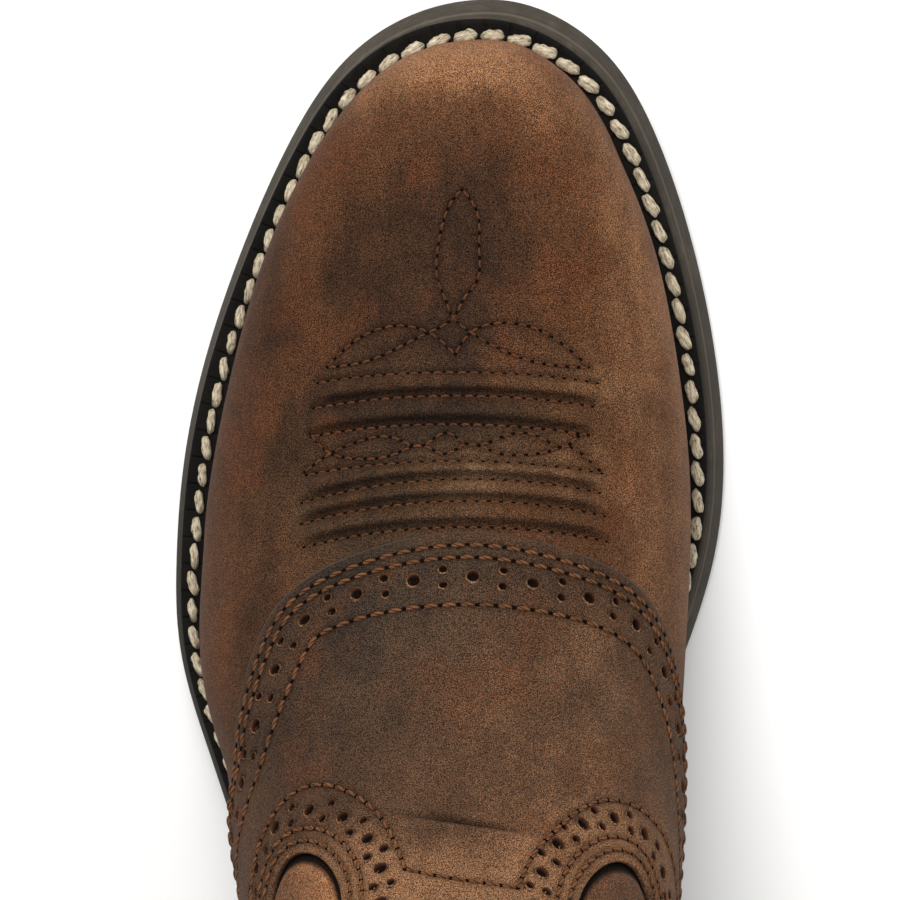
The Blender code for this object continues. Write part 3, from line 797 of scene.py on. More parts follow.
BROWN_THREAD = thread_finish("brown_thread", (0.018, 0.0065, 0.003), (0.172, 0.070, 0.027), 0.12)
DULL_THREAD = thread_finish("dull_thread", (0.016, 0.006, 0.003), (0.125, 0.046, 0.017), 0.08)
CREAM_ROPE, tree, shader, place = new_finish("cream_rope", 0.75, 0.12)
plies = use_group(tree, PLIES, Pattern=pattern_of(tree), Turns=ROPE_TURNS, Plies=ROPE_PLIES)
along_rope, round_rope, _ = axes_of(tree, pattern_of(tree))
drawn_out = tree.nodes.new("ShaderNodeCombineXYZ")
for socket, value, scale in zip(drawn_out.inputs, (along_rope, round_rope, axes_of(tree, place)[1]), FIBRES):
    feed(socket, scaled(tree, value, scale))
strands = noise(tree, drawn_out.outputs[0], 1.0, 3.0, 0.7)
cream = shades(tree, strands, ((0.33, (0.085, 0.056, 0.031)), (0.43, (0.350, 0.285, 0.190)),
                               (0.56, (0.560, 0.490, 0.365)), (0.70, (0.730, 0.665, 0.530))))
# Painted shade in the hollows between the rope's plies.
hollow_shade = scaled(tree, plies["Hollow"], 0.3)
feed(shader.inputs["Base Color"], blend_colour(tree, hollow_shade, cream, (0.22, 0.175, 0.115, 1.0)))
feed(shader.inputs["Roughness"], spread(tree, strands, 0.3, 0.7, 0.85, 0.65))
relief(tree, shader, calc(tree, "ADD", strands, scaled(tree, plies["Height"], 0.2)), 0.30)
print("threads:", BROWN_THREAD.name, DULL_THREAD.name, CREAM_ROPE.name)

# %% [markdown]
# ## Rubber and the painted shade of holes
# Sole, heel and welt are moulded rubber under a film of dust. The sole's bead is rubbed pale and painted
# shade darkens the outer side of its waist; a wheel has pressed notches into the welt. Needle holes are
# near black discs of painted shade.


# %% Rubber and holes
def rubber_finish(name, base, dusty, roughness, depth):
    """Moulded rubber: a base colour under a film of dust, which makes it rougher, with a fine matt skin."""
    finish, tree, shader, place = new_finish(name, roughness, 0.08)
    dust = use_group(tree, DUST, Place=place)
    colour = blend_colour(tree, dust["Mask"], (*base, 1.0), (*dusty, 1.0))
    feed(shader.inputs["Base Color"], colour)
    feed(shader.inputs["Roughness"], spread(tree, dust["Mask"], 0.0, 1.0, roughness, roughness + 0.18))
    relief(tree, shader, dust["Height"], depth)
    return finish, tree, shader, dust, colour


SOLE_RUBBER, tree, shader, _, dusty_sole = rubber_finish(
    "sole_rubber", (0.043, 0.036, 0.028), (0.088, 0.075, 0.059), 0.72, 0.07)
rubbed_bead = scaled(tree, mark_of(tree, "bead"), 0.5)
rubbed_sole = blend_colour(tree, rubbed_bead, dusty_sole, (0.135, 0.118, 0.095, 1.0))
# Painted shade darkens the outer side of the sole's waist where the mesh marks it.
shaded_sole = blend_colour(tree, mark_of(tree, "waist_shade"), rubbed_sole, (0.012, 0.010, 0.008, 1.0))
feed(shader.inputs["Base Color"], shaded_sole)
HEEL_RUBBER = rubber_finish("heel_rubber", (0.045, 0.039, 0.033), (0.090, 0.080, 0.068), 0.74, 0.07)[0]
WELT_RUBBER, tree, shader, dust, _ = rubber_finish(
    "welt_rubber", (0.0042, 0.0036, 0.003), (0.010, 0.0086, 0.007), 0.75, 0.05)
along_welt = axes_of(tree, pattern_of(tree))[0]
wheeled = spread(tree, calc(tree, "PINGPONG", along_welt, 0.5), 0.0, 0.09)
relief(tree, shader, calc(tree, "ADD", wheeled, scaled(tree, dust["Height"], 0.15)), 0.30)

# Painted shade: near black discs stand for the dark inside needle holes.
NEEDLE_HOLE_SHADE, tree, shader, place = new_finish("needle_hole_shade", 1.0, 0.0)
shade = noise(tree, place, 2500.0)
feed(shader.inputs["Base Color"], shades(tree, shade, ((0.3, (0.003, 0.002, 0.0015)),
                                                       (0.75, (0.009, 0.005, 0.003)))))
relief(tree, shader, noise(tree, place, 3000.0), 0.05)
print("finishes:", len(bpy.data.materials))

# %% [markdown]
# ## Stitch lines on the vamp
# The toe is closed with a stitched petal and two wings, under which seven rows pucker the leather. In the
# middle two lines cross each other like a plait. The lines are drawn through a few places, each a station
# and a girth in millimetres from the top line, negative to the outer side.

# %% Lines of the toe stitching
Place = namedtuple("Place", "station girth")
WING_OUTER = (Place(5.18, -29.3), Place(4.98, -24.5), Place(4.80, -15.1), Place(4.86, -8.6),
              Place(5.06, -3.4))
WING_INNER = (Place(5.06, -3.4), Place(4.86, -0.4), Place(4.80, 10.5), Place(4.92, 16.0),
              Place(5.18, 23.2))
PETAL_INNER = (Place(5.18, -29.3), Place(5.12, -20.7), Place(4.86, -8.6), Place(4.72, -3.8),
               Place(4.52, -1.6), Place(4.40, 0.3), Place(4.05, 0.95), Place(3.70, 0.5), Place(3.585, -0.6),
               Place(3.46, -2.5))
PETAL_OUTER = (Place(5.18, 23.2), Place(5.12, 11.5), Place(4.86, -0.4), Place(4.72, -3.8),
               Place(4.52, -5.7), Place(4.39, -6.8), Place(4.10, -7.15), Place(3.80, -6.1), Place(3.60, -4.6),
               Place(3.46, -2.5))
PLAIT_FRONT = (Place(6.09, -33.8), Place(5.917, -28.0), Place(5.80, -21.4), Place(5.776, -15.0),
               Place(5.84, -9.4), Place(5.729, -5.0), Place(5.823, -0.7), Place(5.746, 7.2),
               Place(5.755, 12.6), Place(5.849, 18.6), Place(5.755, 21.4), Place(5.74, 23.2))
PLAIT_BACK = (Place(5.746, -32.6), Place(5.849, -30.4), Place(5.917, -28.0), Place(5.95, -25.0),
              Place(5.96, -20.0), Place(5.909, -14.4), Place(5.84, -9.4), Place(5.909, -4.8),
              Place(5.823, -0.7), Place(5.892, 4.4), Place(5.917, 10.4), Place(5.892, 15.0),
              Place(5.849, 18.6), Place(5.95, 22.8), Place(6.06, 25.7))
Row = namedtuple("Row", "outer_station outer_girth middle_station middle_girth inner_station inner_girth")
PUCKER_ROWS = (
    Row(5.30, -31.2, 5.20, -3.5, 5.30, 24.9),
    Row(5.52, -32.0, 5.40, -2.4, 5.50, 24.0),
    Row(5.76, -32.4, 5.64, -2.4, 5.74, 23.2),
    Row(6.10, -33.2, 5.96, -2.1, 6.08, 26.3),
    Row(6.36, -34.1, 6.12, -0.4, 6.26, 26.0),
    Row(6.56, -33.9, 6.32, -0.4, 6.48, 27.4),
    Row(6.78, -33.3, 6.56, -0.9, 6.72, 28.2),
)
MM_PER_STATION = 22.0
DRAWN_COUNT = 160
BEHIND_DROP = 0.018


def drawn(places):
    """Station and girth along a line through the places, spaced by distance on the vamp laid flat."""
    station, girth = column(places, "station"), column(places, "girth")
    run = run_along(np.c_[station * MM_PER_STATION, girth])
    at = np.linspace(0.0, run[-1], DRAWN_COUNT)
    return spline(run, station, at), spline(run, girth, at)


def pucker_line(row, girth):
    """Station of a puckered row: the parabola through its two ends and its middle."""
    knots = np.array([row.outer_girth, row.middle_girth, row.inner_girth])
    values = (row.outer_station, row.middle_station, row.inner_station)
    total = 0.0
    for k in range(3):
        others = np.delete(knots, k)
        total = total + values[k] * np.prod((girth[..., None] - others) / (knots[k] - others), -1)
    return total


def on_vamp(station, girth):
    """Station and share around for a girth in millimetres."""
    return station, girth / half_girth(station, girth)


TOE_LINES = (WING_OUTER, WING_INNER, PETAL_INNER, PETAL_OUTER, PLAIT_FRONT, PLAIT_BACK)
toe_lines = [drawn(line) for line in TOE_LINES]
pucker_lines = []
for row in PUCKER_ROWS:
    girth = np.linspace(row.outer_girth, row.inner_girth, DRAWN_COUNT)
    pucker_lines.append((pucker_line(row, girth), girth))
sewn_rows = [(station + BEHIND_DROP, girth) for station, girth in pucker_lines]
vamp_paths = [on_vamp(*line) for line in toe_lines + sewn_rows]
print("stitch lines on the vamp:", len(vamp_paths))

# %% [markdown]
# ## Puckers and sunk seams
# Each puckered row was pulled tight over a cord, so the leather swells between two rows and drops steeply
# into the next seam. The swell is half a sine wave whose crest is moved toward the next row. Along every
# stitch line the thread sinks the leather a little, a narrow bell curve of the distance to the line.
# Seams and the foot of each drop are darkened with painted shade.

# %% Relief of the vamp
SWELLS = ((0, 1), (1, 2), (3, 4), (4, 5), (5, 6))
SWELL_HEIGHT = 1.2
SWELL_LEAN = 1.5
SWELL_OVERHANG = 2
SWELL_FADE = 7
DROP_AHEAD = 0.75
DROP_WIDTH = 0.6
DROP_SHADE = 1.25
SEAM_DEPTH = 0.32
SEAM_WIDTH = 0.75
SEAM_SHADE = 0.9
RELIEF_FROM = 3.2
RELIEF_TO = 7.0
RELIEF_GIRTH = 44


def vamp_relief(station, around):
    """Height over the last in millimetres, and the painted shade that darkens each place in a seam or a drop.

    The height is the swells less a bell curve of the distance to the nearest stitch line.
    """
    girth = around * half_girth(station, around)
    near = (station > RELIEF_FROM) & (station < RELIEF_TO) & (np.abs(girth) < RELIEF_GIRTH)
    height = np.zeros(np.shape(station))
    sunk_shade = np.zeros(np.shape(station))
    p, g = station[near], girth[near]
    swell = np.zeros(p.shape)
    groove_shade = np.zeros(p.shape)
    for front, back in SWELLS:
        a, b = PUCKER_ROWS[front], PUCKER_ROWS[back]
        share = np.clip((p - pucker_line(a, g)) / (pucker_line(b, g) - pucker_line(a, g)), 0.0, 1.0)
        ends = ease((g - a.outer_girth + SWELL_OVERHANG) / SWELL_FADE)
        ends = ends * ease((a.inner_girth + SWELL_OVERHANG - g) / SWELL_FADE)
        swell += SWELL_HEIGHT * np.sin(np.pi * share ** SWELL_LEAN) * ends
        # Painted shade: a narrow dark band just toe-side of the next row, where the swell drops into it.
        drop = ((p - pucker_line(b, g)) * MM_PER_STATION + DROP_AHEAD) / DROP_WIDTH
        groove_shade = np.maximum(groove_shade, np.exp(-drop ** 2) * ends)
    here = np.c_[p * MM_PER_STATION, g, np.zeros(p.shape)]
    lines = np.concatenate([np.c_[line[0] * MM_PER_STATION, line[1], np.zeros(DRAWN_COUNT)]
                            for line in toe_lines + pucker_lines])
    seam = np.exp(-(distance_to(here, lines) / SEAM_WIDTH) ** 2)
    height[near] = swell - SEAM_DEPTH * seam
    sunk_shade[near] = np.maximum(SEAM_SHADE * seam, DROP_SHADE * groove_shade)
    return height, sunk_shade


test_height, _ = vamp_relief(np.linspace(5.2, 6.6, 200), np.zeros(200))
print("relief on the top line, mm:", test_height.min().round(2), "to", test_height.max().round(2))

# %% [markdown]
# ## Where the leather is paler or darker
# Oiled leather pales where it is stretched over the last and darkens where oil gathers. A short table says
# where the hide of this boot is paler or darker; each row is a soft round patch, and the finish adds clouds.
# The tables were matched to the boot's tones, so besides patina they hold painted light, such as the
# bright toe tip.

# %% Patches of paler and darker leather, and of painted sheen
Patch = namedtuple("Patch", "from_toe medial along across amount")
VAMP_PATCHES = (
    Patch(10, -5, 9, 26, 1),
    Patch(22, -4, 8, 30, 0.35),
    Patch(30, -28, 10, 10, 0.2),
    Patch(57, -10, 26, 22, -0.7),
    Patch(57, 34, 40, 11, 0.62),
    Patch(38, 24, 9, 8, 0.15),
    Patch(46, -33, 10, 6, 0.2),
    Patch(88, -18, 18, 19, -0.42),
    Patch(82, 4, 7, 18, -0.3),
    Patch(91, 0, 5, 20, 0.55),
    Patch(104, -8, 7, 22, -0.25),
    Patch(88, 35, 12, 5, -0.2),
    Patch(108, 37, 26, 9, 0.5),
    Patch(26, 16, 9, 9, 0.35),
    Patch(33, 4, 8, 8, -0.25),
    Patch(75, 6, 5, 24, 0.3),
    Patch(98, 0, 6, 20, 0.28),
    Patch(70, -46, 14, 5, 0.15),
    Patch(122, -40, 16, 7, -0.25),
    Patch(62, -38, 24, 13, -0.25),
    Patch(100, -44, 26, 11, -0.25),
    Patch(21, 5, 6, 9, -0.25),
)
SADDLE_PATCHES = (
    Patch(110, -10, 8, 34, -0.5),
    Patch(135, -31, 30, 11, -0.35),
    Patch(128, -14, 14, 14, -0.3),
    Patch(128, 14, 14, 14, 0.3),
    Patch(133, 3, 5, 9, 0.2),
    Patch(164, 2, 9, 44, 0.92),
    Patch(156, 14, 7, 13, 0.34),
    Patch(162, -19, 6, 8, 0.42),
    Patch(161, 20, 7, 9, 0.42),
    Patch(150, 34, 14, 8, 0.2),
    Patch(162, -29, 6, 6, 0.2),
    Patch(161, 8, 5, 6, -0.22),
    Patch(141, 26, 8, 8, 0.15),
    Patch(147, -4, 6, 6, 0.1),
)

# Patches of painted sheen: a cool grey tint over the vamp's puckers and on the saddle.
SHEEN_PATCHES = (Patch(90, -6, 22, 30, 1), Patch(103, -25, 10, 14, 0.8))
SADDLE_SHEEN_PATCHES = (Patch(105, -20, 10, 20, 0.8), Patch(124, -15, 13, 13, 0.5),
                       Patch(134, 33, 12, 9, 0.4))


def patch_sum_at(points, patches):
    """Sum of the patches at the points: each is its amount times a bell curve along and across."""
    total = np.zeros(points.shape[:-1])
    for patch in patches:
        along = (points[..., 1] - patch.from_toe) / patch.along
        across = (points[..., 0] - patch.medial) / patch.across
        total += patch.amount * np.exp(-along ** 2 - across ** 2)
    return total


print("patches:", len(VAMP_PATCHES) + len(SADDLE_PATCHES))

# %% [markdown]
# ## The upper
# Foot and shaft are one grid of stations by shares around, closer together where the puckers need it. The
# toe's pole and the back seam are welded, and a narrow hem turns the foot edge down to the welt and in.

# %% Upper skin
LEG_FROM = 13.0
UPPER_COLUMNS = 231
HEM_DROP = 0.34
HEM_TURN = 3.0


def join_back_seam(normal, station):
    """Gives both edges of the back seam one direction, their sum laid in the centre plane."""
    closed = station >= CORNER
    seam = normal[closed, 0] + normal[closed, -1]
    seam[:, 0] = 0.0
    normal[closed, 0] = normal[closed, -1] = unit(seam)


station = np.r_[np.linspace(0.0, RELIEF_FROM, 44)[:-1], np.linspace(RELIEF_FROM, RELIEF_TO, 166)[:-1],
                np.linspace(RELIEF_TO, LEG_FROM, 76)[:-1], np.linspace(LEG_FROM, COLLAR, 34)]
around = np.linspace(-1.0, 1.0, UPPER_COLUMNS)
upper_grid, _ = skin_grid(station, around)
upper_normal = grid_normals(upper_grid)
join_back_seam(upper_normal, station)
height, sunk_shade = vamp_relief(*np.meshgrid(station, around, indexing="ij"))
outer = upper_grid + height[..., None] * upper_normal
foot_rows = int(np.searchsorted(station, CORNER)) + 1
hems, hem_normals, hem_faces = [], [], []
start = outer.shape[0] * outer.shape[1]
for side in (0, -1):
    edge = outer[:foot_rows, side]
    level_way = unit(upper_normal[:foot_rows, side] * (1.0, 1.0, 0.0))
    low_edge = edge - (0.0, 0.0, HEM_DROP)
    hem = np.stack([edge, low_edge, low_edge - HEM_TURN * level_way], 1)
    faces = grid_faces(foot_rows, 3) + start
    hems.append(hem.reshape(-1, 3))
    hem_normals.append(np.repeat(level_way, 3, 0))
    hem_faces.append(faces if side == 0 else faces[:, ::-1])
    start += foot_rows * 3
points = np.concatenate([outer.reshape(-1, 3)] + hems)
rubbed_and_lit = patch_sum_at(points, VAMP_PATCHES)
add_piece(
    "upper_leather", points, [np.concatenate([grid_faces(*outer.shape[:2])] + hem_faces)], [VAMP_HIDE],
    ["upper"], np.concatenate([upper_normal.reshape(-1, 3)] + hem_normals),
    marks={"rubbed_and_lit": rubbed_and_lit, "sunk_shade": np.r_[sunk_shade.ravel(), np.zeros(len(points) - sunk_shade.size)],
           "sheen_tint": patch_sum_at(points, SHEEN_PATCHES)}, weld=True)

# %% [markdown]
# ## Lining and collar
# Inside the shaft lies a smooth tan lining, the skin moved in by the wall. A folded strip of leather binds
# the collar: an oval profile carried round the rim, wide enough to cover both edges of the wall.

# %% Lining
LINING_DEPTH = WALL - 0.15
inner_station = np.r_[np.linspace(0.4, CORNER, 70), np.linspace(CORNER, COLLAR, 36)[1:]]
inner_around = np.linspace(-1.0, 1.0, 81)
inner_grid, _ = skin_grid(inner_station, inner_around)
inner_normal = grid_normals(inner_grid)
level = (inner_station < CORNER)[:, None] & (np.abs(inner_around) == 1.0)[None]
inner_normal[level, 2] = 0.0
join_back_seam(inner_normal, inner_station)
inner_normal = unit(inner_normal)
add_piece("lining", inner_grid - LINING_DEPTH * inner_normal, [grid_faces(*inner_grid.shape[:2])],
          [LINING_HIDE], outward=-inner_normal, weld=True)

# %% Collar binding
RIM_COUNT = 180
FOLD_SIDES = 14
FOLD_HALF_WIDTH = 2.0
FOLD_HALF_HEIGHT = 3.6
FOLD_DROP = 2.2
FOLD_FLATNESS = 0.6
rim_share = np.linspace(-1.0, 1.0, RIM_COUNT + 1)[:-1]
rim = skin(np.full(RIM_COUNT, float(COLLAR)), rim_share)
out = unit(facing(np.full(RIM_COUNT, COLLAR - 0.02), rim_share) * (1.0, 1.0, 0.0))
up = unit(rim - skin(np.full(RIM_COUNT, COLLAR - 0.2), rim_share))
angle = np.linspace(0.0, 2 * np.pi, FOLD_SIDES, endpoint=False)
flattened = np.sign(np.cos(angle)) * np.abs(np.cos(angle)) ** FOLD_FLATNESS
fold = np.c_[FOLD_HALF_WIDTH * flattened, FOLD_HALF_HEIGHT * np.sin(angle) - FOLD_DROP]
binding = tube(rim - WALL / 2 * out, out, up, fold)
binding_points = RIM_COUNT * FOLD_SIDES
corners = grid_faces(RIM_COUNT + 1, FOLD_SIDES, True) % binding_points
add_piece("collar_binding", binding, [corners], [SADDLE_HIDE],
          marks={"rubbed_and_lit": np.full(binding_points, -0.1), "sunk_shade": np.zeros(binding_points)})

# %% [markdown]
# ## The saddle
# A second hide lies over the instep and the foot of the shaft, with two oval windows. On a grid of columns
# across and rows along, a window is a slit in one column that is pushed open: each side of the slit moves to
# the oval's edge and the columns beside it make room. So the cut edges are clean lines of the grid.

# %% Edges and windows of the saddle
Edge = namedtuple("Edge", "front_around front_section top_around top_section")
SADDLE_EDGES = (
    Edge(-0.797, 11.08, -0.720, 11.22),
    Edge(-0.775, 10.50, -0.640, 11.37),
    Edge(-0.715, 9.86, -0.565, 11.56),
    Edge(-0.620, 9.24, -0.500, 11.80),
    Edge(-0.520, 8.80, -0.455, 12.15),
    Edge(-0.445, 8.08, -0.400, 12.60),
    Edge(-0.385, 7.34, -0.300, 12.90),
    Edge(-0.220, 6.86, -0.160, 13.05),
    Edge(0.000, 6.66, 0.000, 13.10),
    Edge(0.220, 6.82, 0.160, 13.05),
    Edge(0.400, 7.14, 0.300, 12.90),
    Edge(0.510, 7.56, 0.400, 12.60),
    Edge(0.565, 7.98, 0.455, 12.15),
    Edge(0.615, 8.50, 0.500, 11.80),
    Edge(0.665, 9.20, 0.565, 11.56),
    Edge(0.745, 9.90, 0.640, 11.37),
    Edge(0.820, 10.55, 0.710, 11.24),
    Edge(0.845, 11.02, 0.770, 11.14),
)
Window = namedtuple("Window", "around section half_around half_section taper reach")
WINDOWS = (Window(-0.287, 10.50, 0.107, 0.98, 0.25, 0.17), Window(0.325, 10.48, 0.112, 0.94, 0.25, 0.175))
SADDLE_TOP = 1.9
SKIVE = 0.75
SKIVE_WIDTH = 1.6

knots = np.linspace(0.0, 1.0, len(SADDLE_EDGES))
walk = np.linspace(0.0, 1.0, 500)
edge = {name: spline(knots, column(SADDLE_EDGES, name), walk) for name in Edge._fields}
front_path = (edge["front_section"], edge["front_around"])
top_path = (np.r_[edge["front_section"][0], edge["top_section"], edge["front_section"][-1]],
            np.r_[edge["front_around"][0], edge["top_around"], edge["front_around"][-1]])


def window_path(window, count=240):
    """Oval edge of a window, narrower toward the leg: cosine along the sections, sine around."""
    angle = np.linspace(0.0, 2 * np.pi, count)
    width = window.half_around * (1 - window.taper * np.cos(angle))
    return window.section + window.half_section * np.cos(angle), window.around + width * np.sin(angle)


window_paths = [window_path(window) for window in WINDOWS]
front_line = skin(*front_path)
cut_lines = np.concatenate([front_line, skin(*top_path)] + [skin(*path) for path in window_paths])
print("front edge of the saddle, mm:", run_along(front_line)[-1].round(0))

# %% [markdown]
# ## Height of the saddle
# Toward its edges the hide is skived thin, so its height falls along an exponential of the distance to the
# nearest cut. Where foot and leg meet, one deep fold and several shallow ones cross the ankle, and a wide one
# runs aslant on the inner side. Each is a bell-shaped trough in a lower, wider swell.
# The troughs are darkened with painted shade.

# %% Saddle height
Fold = namedtuple("Fold", "station around slant reach width depth")
ANKLE_FOLDS = (
    Fold(9.33, 0.02, 0.80, 0.100, 0.034, 1.50),
    Fold(9.43, -0.04, 0.50, 0.060, 0.040, 0.25),
    Fold(9.20, 0.02, 0.50, 0.050, 0.040, 0.22),
    Fold(9.57, -0.05, 0.40, 0.050, 0.030, 0.20),
    Fold(9.68, 0.04, 0.50, 0.060, 0.030, 0.18),
    Fold(9.80, -0.01, 0.40, 0.060, 0.030, 0.16),
    Fold(8.18, 0.245, -3.20, 0.070, 0.160, 0.35),
)
FOLD_SWELL_WIDTH = 2.6
FOLD_SWELL = 0.35
FOLD_SHADE = 1.2
DEEPEST_SHADE = 1.5


def saddle_height(station, around):
    """Height of the saddle's face over the skin, and the painted shade that darkens it in the ankle folds."""
    height = SADDLE_TOP - SKIVE * np.exp(-distance_to(skin(station, around), cut_lines) / SKIVE_WIDTH)
    deep_shade = np.zeros(np.shape(station))
    for fold in ANKLE_FOLDS:
        line = fold.station + fold.slant * (around - fold.around)
        reach = np.exp(-((around - fold.around) / fold.reach) ** 2)
        trough = reach * np.exp(-((station - line) / fold.width) ** 2)
        swell = reach * np.exp(-((station - line) / (FOLD_SWELL_WIDTH * fold.width)) ** 2)
        height = height - fold.depth * trough + FOLD_SWELL * fold.depth * swell
        # Painted shade in each fold's trough, darker for deeper folds up to a limit.
        deep_shade = np.maximum(deep_shade, trough * min(DEEPEST_SHADE, FOLD_SHADE * fold.depth))
    return height, deep_shade


print("height in the middle of the saddle:", saddle_height(np.array([8.0]), np.array([0.0]))[0].round(2))

# %% [markdown]
# ## Rows of stitches and holes on the saddle
# The border of the saddle is a brogue: two rows of stitches beside the cut, a band of large holes with pairs
# of small ones between them, and one more row. All follow the edge, so each is that edge moved inward on the
# skin. The same border runs round the windows; over the ankle its last row crosses from one to the other.

# %% Saddle lines
ROW_INSETS = (2.3, 4.5)
HOLE_INSET = 7.8
BORDER_INSET = 12.9
BORDER_SPREAD = 0.22
BORDER_SPREAD_REACH = 0.28
WINDOW_INSETS = (2.0, 4.4)
WINDOW_HOLE_INSET = 8.2
Spot = namedtuple("Spot", "station around")
ARCH = (Spot(11.1, -0.50), Spot(10.3, -0.478), Spot(9.76, -0.455), Spot(9.28, -0.375), Spot(9.02, -0.30),
        Spot(8.96, -0.25), Spot(9.02, -0.19), Spot(9.26, -0.125), Spot(9.82, -0.07))
VALLEY = (Spot(9.82, -0.07), Spot(9.93, 0.0), Spot(10.0, 0.105))
ARCH_INNER = (Spot(10.0, 0.105), Spot(9.64, 0.13), Spot(9.32, 0.18), Spot(9.12, 0.235), Spot(9.06, 0.285),
              Spot(9.12, 0.375), Spot(9.32, 0.47), Spot(9.64, 0.55), Spot(10.3, 0.585), Spot(11.0, 0.60))
THROUGH_COUNT = 200


def through(spots):
    """Station and share around along a line through the spots, spaced by distance on the skin."""
    station, share = column(spots, "station"), column(spots, "around")
    run = run_along(skin(station, share))
    at = np.linspace(0.0, run[-1], THROUGH_COUNT)
    return spline(run, station, at), spline(run, share, at)


widening = 1 + BORDER_SPREAD * np.exp(-(front_path[1] / BORDER_SPREAD_REACH) ** 2)
saddle_rows = [beside(*front_path, -inset * widening) for inset in ROW_INSETS + (BORDER_INSET,)]
window_rows = [beside(*path, -inset) for path in window_paths for inset in WINDOW_INSETS]
arch_rows = [through(line) for line in (ARCH, VALLEY, ARCH_INNER)]
hole_lines = [beside(*front_path, -HOLE_INSET * widening)]
hole_lines += [beside(*path, -WINDOW_HOLE_INSET) for path in window_paths]
middle = len(walk) // 2
row_middle, edge_middle = saddle_rows[0][0][middle], front_path[0][middle]
print("first row at the middle: station", row_middle.round(2), "edge", edge_middle.round(2))
print("window row apex:", window_rows[0][0].min().round(2), "edge", window_paths[0][0].min().round(2))

# %% [markdown]
# ## Sewing
# A row of stitches is a path with a pitch. Each stitch is the same small bowed grain of thread, 38 faces,
# turned to its place: along the path, across it and out of the leather. Between two stitches a near black
# disc of painted shade stands for a needle hole. All stitches of one kind are joined in one mesh made from
# whole arrays.

# %% Stitch helpers
SADDLE_SEAM_DEPTH = 0.16
STITCH_RINGS = 7
STITCH_SIDES = 6
DISC_SIDES = 8
LOOK = 0.3
RIPPLES = np.array([(3.1, 1.7, 2.3), (-1.9, 2.9, 3.7), (4.3, -2.6, 1.1)])


def pitched(points, pitch, anchor=None):
    """Places along a path at equal pitch: indices between its points, the middles and the ends of stitches.

    Without an anchor the pitch is fitted to the path; with one, an end lies on that point of the path.
    """
    run = run_along(points)
    if anchor is None:
        ends = np.linspace(0.0, run[-1], max(2, int(run[-1] / pitch)) + 1)
    else:
        ends = np.arange(run[anchor] % pitch, run[-1], pitch)
    index = np.arange(len(points))
    return np.interp((ends[:-1] + ends[1:]) / 2, run, index), np.interp(ends, run, index)


def read_path(values, index):
    """Values of a path at places between its points."""
    return np.interp(index, np.arange(len(values)), values)


def sew(path, lift_of, pitch, keep=None, anchor=None):
    """Frames of the stitches of one row: middles, along, across, up; and those of its needle holes."""
    station, share = path
    frames = []
    for index in pitched(skin(station, share), pitch, anchor):
        p, t = read_path(station, index), read_path(share, index)
        ahead = skin(read_path(station, index + LOOK), read_path(share, index + LOOK))
        behind = skin(read_path(station, index - LOOK), read_path(share, index - LOOK))
        up = facing(p, t)
        along = unit(ahead - behind)
        middle = skin(p, t, lift_of(p, t))
        frame_set = np.stack([middle, along, np.cross(up, along), up], 1)
        frames.append(frame_set if keep is None else frame_set[keep(p, t)])
    return frames


def bowed_tube(u, angle, radius, lift, share_round):
    """Unit tube along u from -1 to 1, each ring lifted by `lift`: points, pattern, sheath and end caps."""
    rings, sides = len(u), angle.shape[1]
    points = np.stack([u + 0 * angle, radius * np.cos(angle), radius * np.sin(angle) + lift], -1)
    pattern = np.stack([(u + 1) / 2 + 0 * angle, share_round + 0 * u], -1)
    caps = np.array([np.arange(sides)[::-1], (rings - 1) * sides + np.arange(sides)])
    return points.reshape(-1, 3), pattern.reshape(-1, 2), grid_faces(rings, sides, True), caps


def grain_of_thread():
    """Unit stitch: a twisted tube, its radius the root of 1 less a power of u, bowed up in the middle."""
    u = np.linspace(-1.0, 1.0, STITCH_RINGS)[:, None]
    angle = np.linspace(-np.pi / 2, 1.5 * np.pi, STITCH_SIDES, endpoint=False)[None] + 0.9 * u
    radius = np.clip(1 - np.abs(u) ** 2.6, 0.08, 1.0) ** 0.5
    return bowed_tube(u, angle, radius, 0.35 - 0.95 * u ** 4, np.linspace(0.0, 1.0, STITCH_SIDES)[None])


def set_in(frames, local):
    """Points given along, across and up, set into every frame."""
    return frames[:, None, 0] + sum(local[None, :, k:k + 1] * frames[:, None, k + 1] for k in range(3))


def add_thread(name, frames, size, finish, shape=None, ruffle=0.0):
    """All stitches of a kind as one mesh; `size` is half length, half width and half height in millimetres.

    Each point moves away from its stitch by `ruffle` times the mean of three sines of its place.
    """
    points, pattern, sheath, caps = shape or grain_of_thread()
    frames = np.concatenate(frames)
    placed = set_in(frames, points * size)
    shift = (np.arange(len(frames)) * len(points))[:, None, None]
    faces = [(sheath[None] + shift).reshape(-1, 4), (caps[None] + shift).reshape(-1, caps.shape[1])]
    out = placed - frames[:, None, 0]
    placed = placed + ruffle * np.sin(placed @ RIPPLES.T).mean(-1, keepdims=True) * unit(out)
    add_piece(name, placed, faces, [finish], outward=out, pattern=np.tile(pattern, (len(frames), 1)))


def add_needle_holes(name, frames, size):
    """Small dark ovals of painted shade for needle holes; `size` is half length, half width and height over
    the leather in millimetres.
    """
    frames = np.concatenate(frames)
    angle = np.linspace(0.0, 2 * np.pi, DISC_SIDES, endpoint=False)
    local = np.c_[size[0] * np.cos(angle), size[1] * np.sin(angle), np.full(DISC_SIDES, size[2])]
    faces = np.arange(DISC_SIDES)[None] + (np.arange(len(frames)) * DISC_SIDES)[:, None]
    out = np.repeat(frames[:, 3], DISC_SIDES, 0)
    add_piece(name, set_in(frames, local), [faces], [NEEDLE_HOLE_SHADE], outward=out)


def add_rows(kind, sewn, stitch, finish, hole):
    """The thread of sewn rows as one piece and their needle holes as another."""
    add_thread(kind + "_thread", [made[0] for made in sewn], stitch, finish)
    add_needle_holes(kind + "_needle_holes", [made[1] for made in sewn], hole)


